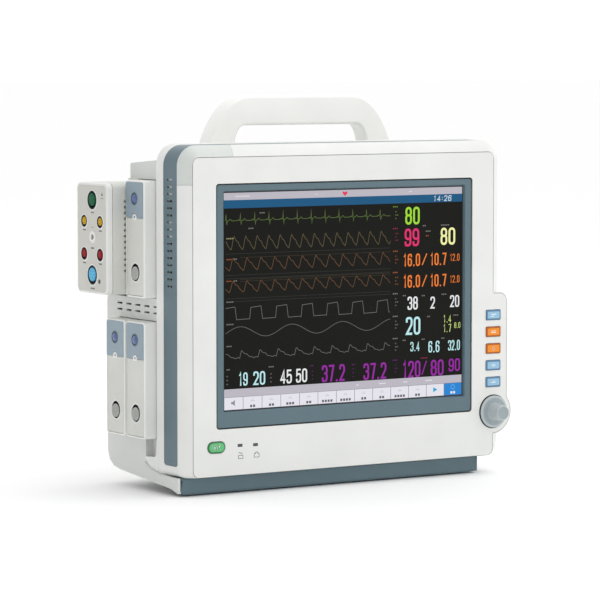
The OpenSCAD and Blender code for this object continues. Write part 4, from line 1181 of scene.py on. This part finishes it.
for node, spots in PORTS.items():
    for i, (depth, z, r, bore) in enumerate(spots):
        cup = side_lathe(f"{node}_{i + 1}_liner", [
            (0.001, 7.6), (bore, 7.6), (bore, 0.35), (bore + 0.15, 0.08), (bore + 0.4, 0), (r - 1.0, 0),
            (r - 0.7, 0.12), (r - 0.6, 0.4), (r - 0.6, 11.2), (0.001, 11.2)], MULTI_X - 0.5, depth, z)
        # Wide bores are lined in dark grey: painted shade in the gap round the core.
        if bore > 4:
            adopt(cup, slot="black_plastic", body="multi_module", material=DARK_RUBBER_AND_SHADE)
        else:
            adopt(cup, node, body="multi_module")
        lip = side_lathe(f"{node}_{i + 1}_lip", [
            (r - 0.65, 2.5), (r - 0.65, 0.1), (r - 0.5, -0.15), (r, -0.2), (r + 0.5, 0.0), (r + 0.7, 0.5),
            (r + 0.7, 0.9), (r - 0.2, 0.9), (r - 0.2, 2.5)], MULTI_X - 0.35, depth, z)
        adopt(lip, slot="off_white", body="multi_module")
        if bore > 4:
            gap = 1.1 if bore < 6 else 1.6
            core = bore - gap
            plug = side_lathe(
                f"{node}_{i + 1}_core",
                [
                    (0.001, 0.1), (core * 0.6, 0.15), (core - 0.5, 0.35), (core - 0.1, 0.7), (core, 1.2),
                    (core, 7.7), (0.001, 7.7)],
                MULTI_X - 0.5, depth + gap * 0.8, z + gap * 0.3)
            adopt(plug, node, body="multi_module")
            pins = [lathe(
                "pin", [(0.001, -0.1), (0.32, -0.05), (0.4, 0.15), (0.4, 0.6), (0.001, 0.6)],
                (MULTI_X - 0.5, depth + gap * 0.8 + a, z + gap * 0.3 + b), "x", 12
            ) for a, b in circle(0, 0, core * 0.52, 6)]
            adopt(
                join(f"{node}_{i + 1}_pins", pins), slot="black_plastic", body="multi_module", material=DARK_RUBBER_AND_SHADE)


def printed(name, patches, place, material, body=BODY, thickness=0.06):
    """Small printed marks. Each is a list of 2D points, which place puts on their surface."""
    bm = bmesh.new()
    for points in patches:
        bm.faces.new([bm.verts.new(at(*point)) for point in place(points)])
    finish_print(from_bmesh(name, bm), thickness, 0, material, body)


def dash(depth, z, count, size=1.5, pitch=2.2):
    return [[
        (depth + (k - (count - 1) / 2) * pitch + a * size / 2, z + b * size / 2)
        for a, b in ((-1, -1), (1, -1), (1, 1), (-1, 1))] for k in range(count)]


labels = (
    dash(122.8, 292.2, 3) + dash(105.9, 273.2, 3) + dash(140.3, 273.2, 3) + dash(122.8, 276.6, 3, 0.8, 1.6)
    + dash(122.8, 254.4, 3, 1.7) + dash(105.9, 238.2, 3) + dash(140.3, 238.2, 3) + dash(122.8, 211.6, 4)
    + dash(101.9, 307.6, 3, 1.0, 1.8))
labels.append([(101.9, 314.2), (100.2, 310.6), (103.6, 310.6)])
labels.append(circle(108.3, 219.6, 2.4, 20))
printed(
    "module_marks", labels, lambda points: sideways(points, MULTI_X + 0.09), DARK_PRINT, "multi_module", 0.05
)


# ---------------------------------------------------------------- small print and symbols on the front
def moved(points, place):
    return [(place[0] + u, place[1] + v) for u, v in points]


def line_patches(points, width, closed=False):
    """Quads along a line, for a printed outline."""
    pts = [Vector(p) for p in points]
    pairs = list(zip(pts, pts[1:])) + ([(pts[-1], pts[0])] if closed else [])
    result = []
    for a, b in pairs:
        along = (b - a).normalized()
        side = Vector((-along.y, along.x)) * width / 2
        a, b = a - along * width * 0.3, b + along * width * 0.3
        result.append([tuple(a - side), tuple(b - side), tuple(b + side), tuple(a + side)])
    return result


ICONS = [
    line_patches([(-3, 1.2), (0, 0), (3, 1.2)], 0.7) + line_patches([(-4, -1.4), (1, -1.4)], 0.5),
    line_patches([(-3, 0.8), (3, 0.8)], 0.6) + line_patches([(-3, -0.9), (3, -0.9)], 0.6),
    line_patches(circle(0, 0, 1.7, 14), 0.6, True),
    line_patches([(-2.4, 0), (0, 1.4), (2.4, 0), (0, -1.4)], 0.5, True),
    line_patches([(-3, -0.6), (3, -0.6)], 0.55) + line_patches([(-1, 0.9), (2, 0.9)], 0.45),
]
for i, ((x, z), icon) in enumerate(zip(KEYS, ICONS)):
    quads = [moved(quad, (x, z)) for quad in icon]
    printed(f"key_symbol_{i + 1}", quads, lambda points: facing(points, -1.23), PALE_PRINT, f"key_{i + 1}")
px, pz = POWER
power_icon = line_patches(circle(px - 2.6, pz, 2.6, 20), 0.85, True) + line_patches([
    (px - 2.6, pz - 1.0), (px - 2.6, pz + 1.0)], 0.7)
power_icon += line_patches(circle(px + 3.0, pz, 2.3, 16, 50, 260), 0.7) + line_patches([
    (px + 3.0, pz + 0.6), (px + 3.0, pz + 2.8)], 0.7)
printed("power_symbol", power_icon, lambda points: facing(points, -1.43), PALE_PRINT, "power_button")
mains, accu = (-134.1, 38.2), (-114.3, 38.4)
plug = [(-2.8, -2.6), (2.8, -2.6), (2.8, 0.9), (-2.8, 0.9)]
ripple = [(-2.2 + 0.55 * i, 3.4 + 0.8 * math.sin(i * math.pi / 4)) for i in range(9)]
cell = [(-3, -2.4), (3, -2.4), (3, 1.4), (1.3, 1.4), (1.3, 3), (-1.3, 3), (-1.3, 1.4), (-3, 1.4)]
symbols = line_patches(moved(plug, mains), 0.5, True) + line_patches(moved(ripple, mains), 0.5)
symbols += line_patches(moved(cell, accu), 0.5, True)
printed("indicator_symbols", symbols, lambda points: facing(points, -0.02), DARK_PRINT)

# ---------------------------------------------------------------- CAD nodes that stay
for node, width in (
    ("rear_cover", 0.8), ("base", 2.0), ("feet", 0.5), ("mounting_plate", 0.3), ("battery_door", 0.5),
    ("ac_inlet", 0.3), ("signal_sockets", 0.3), ("ground_post", 0.3), ("rear_screws", 0.25),
    ("indicator_lenses", 0.15)):
    soften(node, width)

# ---------------------------------------------------------------- studio
floor_mesh = bpy.data.meshes.new("floor")
bm = bmesh.new()
bmesh.ops.create_grid(bm, x_segments=1, y_segments=1, size=40)
bm.to_mesh(floor_mesh)
bm.free()
floor = link("floor", floor_mesh)
floor.location = (0, 0, -2 * MM)
floor_material, tree, shader, coords = new_material("floor_paper")
paint(
    tree, shader.inputs["Base Color"], noise(tree, coords, 3.0), (0.985, 0.985, 0.985, 1),
    (0.99, 0.99, 0.99, 1))
settle(shader, Roughness=0.9, Specular_IOR_Level=0.1)
floor_mesh.materials.append(floor_material)

world = bpy.data.worlds.new("studio")
bpy.context.scene.world = world
world.use_nodes = True
sky = world.node_tree
sky.nodes["Background"].inputs["Color"].default_value = (1, 1, 1, 1)
direction = sky.nodes.new("ShaderNodeTexCoord")
parts = sky.nodes.new("ShaderNodeSeparateXYZ")
sky.links.new(direction.outputs["Generated"], parts.inputs["Vector"])
sky.links.new(spread(sky, parts.outputs["X"], 0.72, 1.28, -1, 1), sky.nodes["Background"].inputs["Strength"])


def lamp(name, place, target, size, power):
    data = bpy.data.lights.new(name, "AREA")
    data.shape = "RECTANGLE"
    data.size, data.size_y = size
    data.energy = power
    obj = link(name, data)
    obj.location = place
    obj.rotation_euler = (Vector(target) - Vector(place)).to_track_quat("-Z", "Y").to_euler()


lamp("key", (1.2, -2.2, 2.6), (0, 0, 0.2), (2.0, 2.0), 4)
lamp("top", (0.8, -0.4, 3.0), (0, 0, 0.2), (2.5, 2.5), 18)

CAMERA_PLACE = (-1.9352, -3.0198, 0.4630)
CAMERA_AIM = (0.5362, 0.8407, -0.0753)
camera_data = bpy.data.cameras.new("camera")
camera_data.lens = 198.2
camera_data.sensor_width = 36
camera_data.clip_end = 100
camera = link("camera", camera_data)
camera.location = CAMERA_PLACE
camera.rotation_euler = Vector(CAMERA_AIM).to_track_quat("-Z", "Y").to_euler()
bpy.context.scene.camera = camera
bpy.context.scene.view_settings.view_transform = "Standard"

bpy.context.view_layer.update()
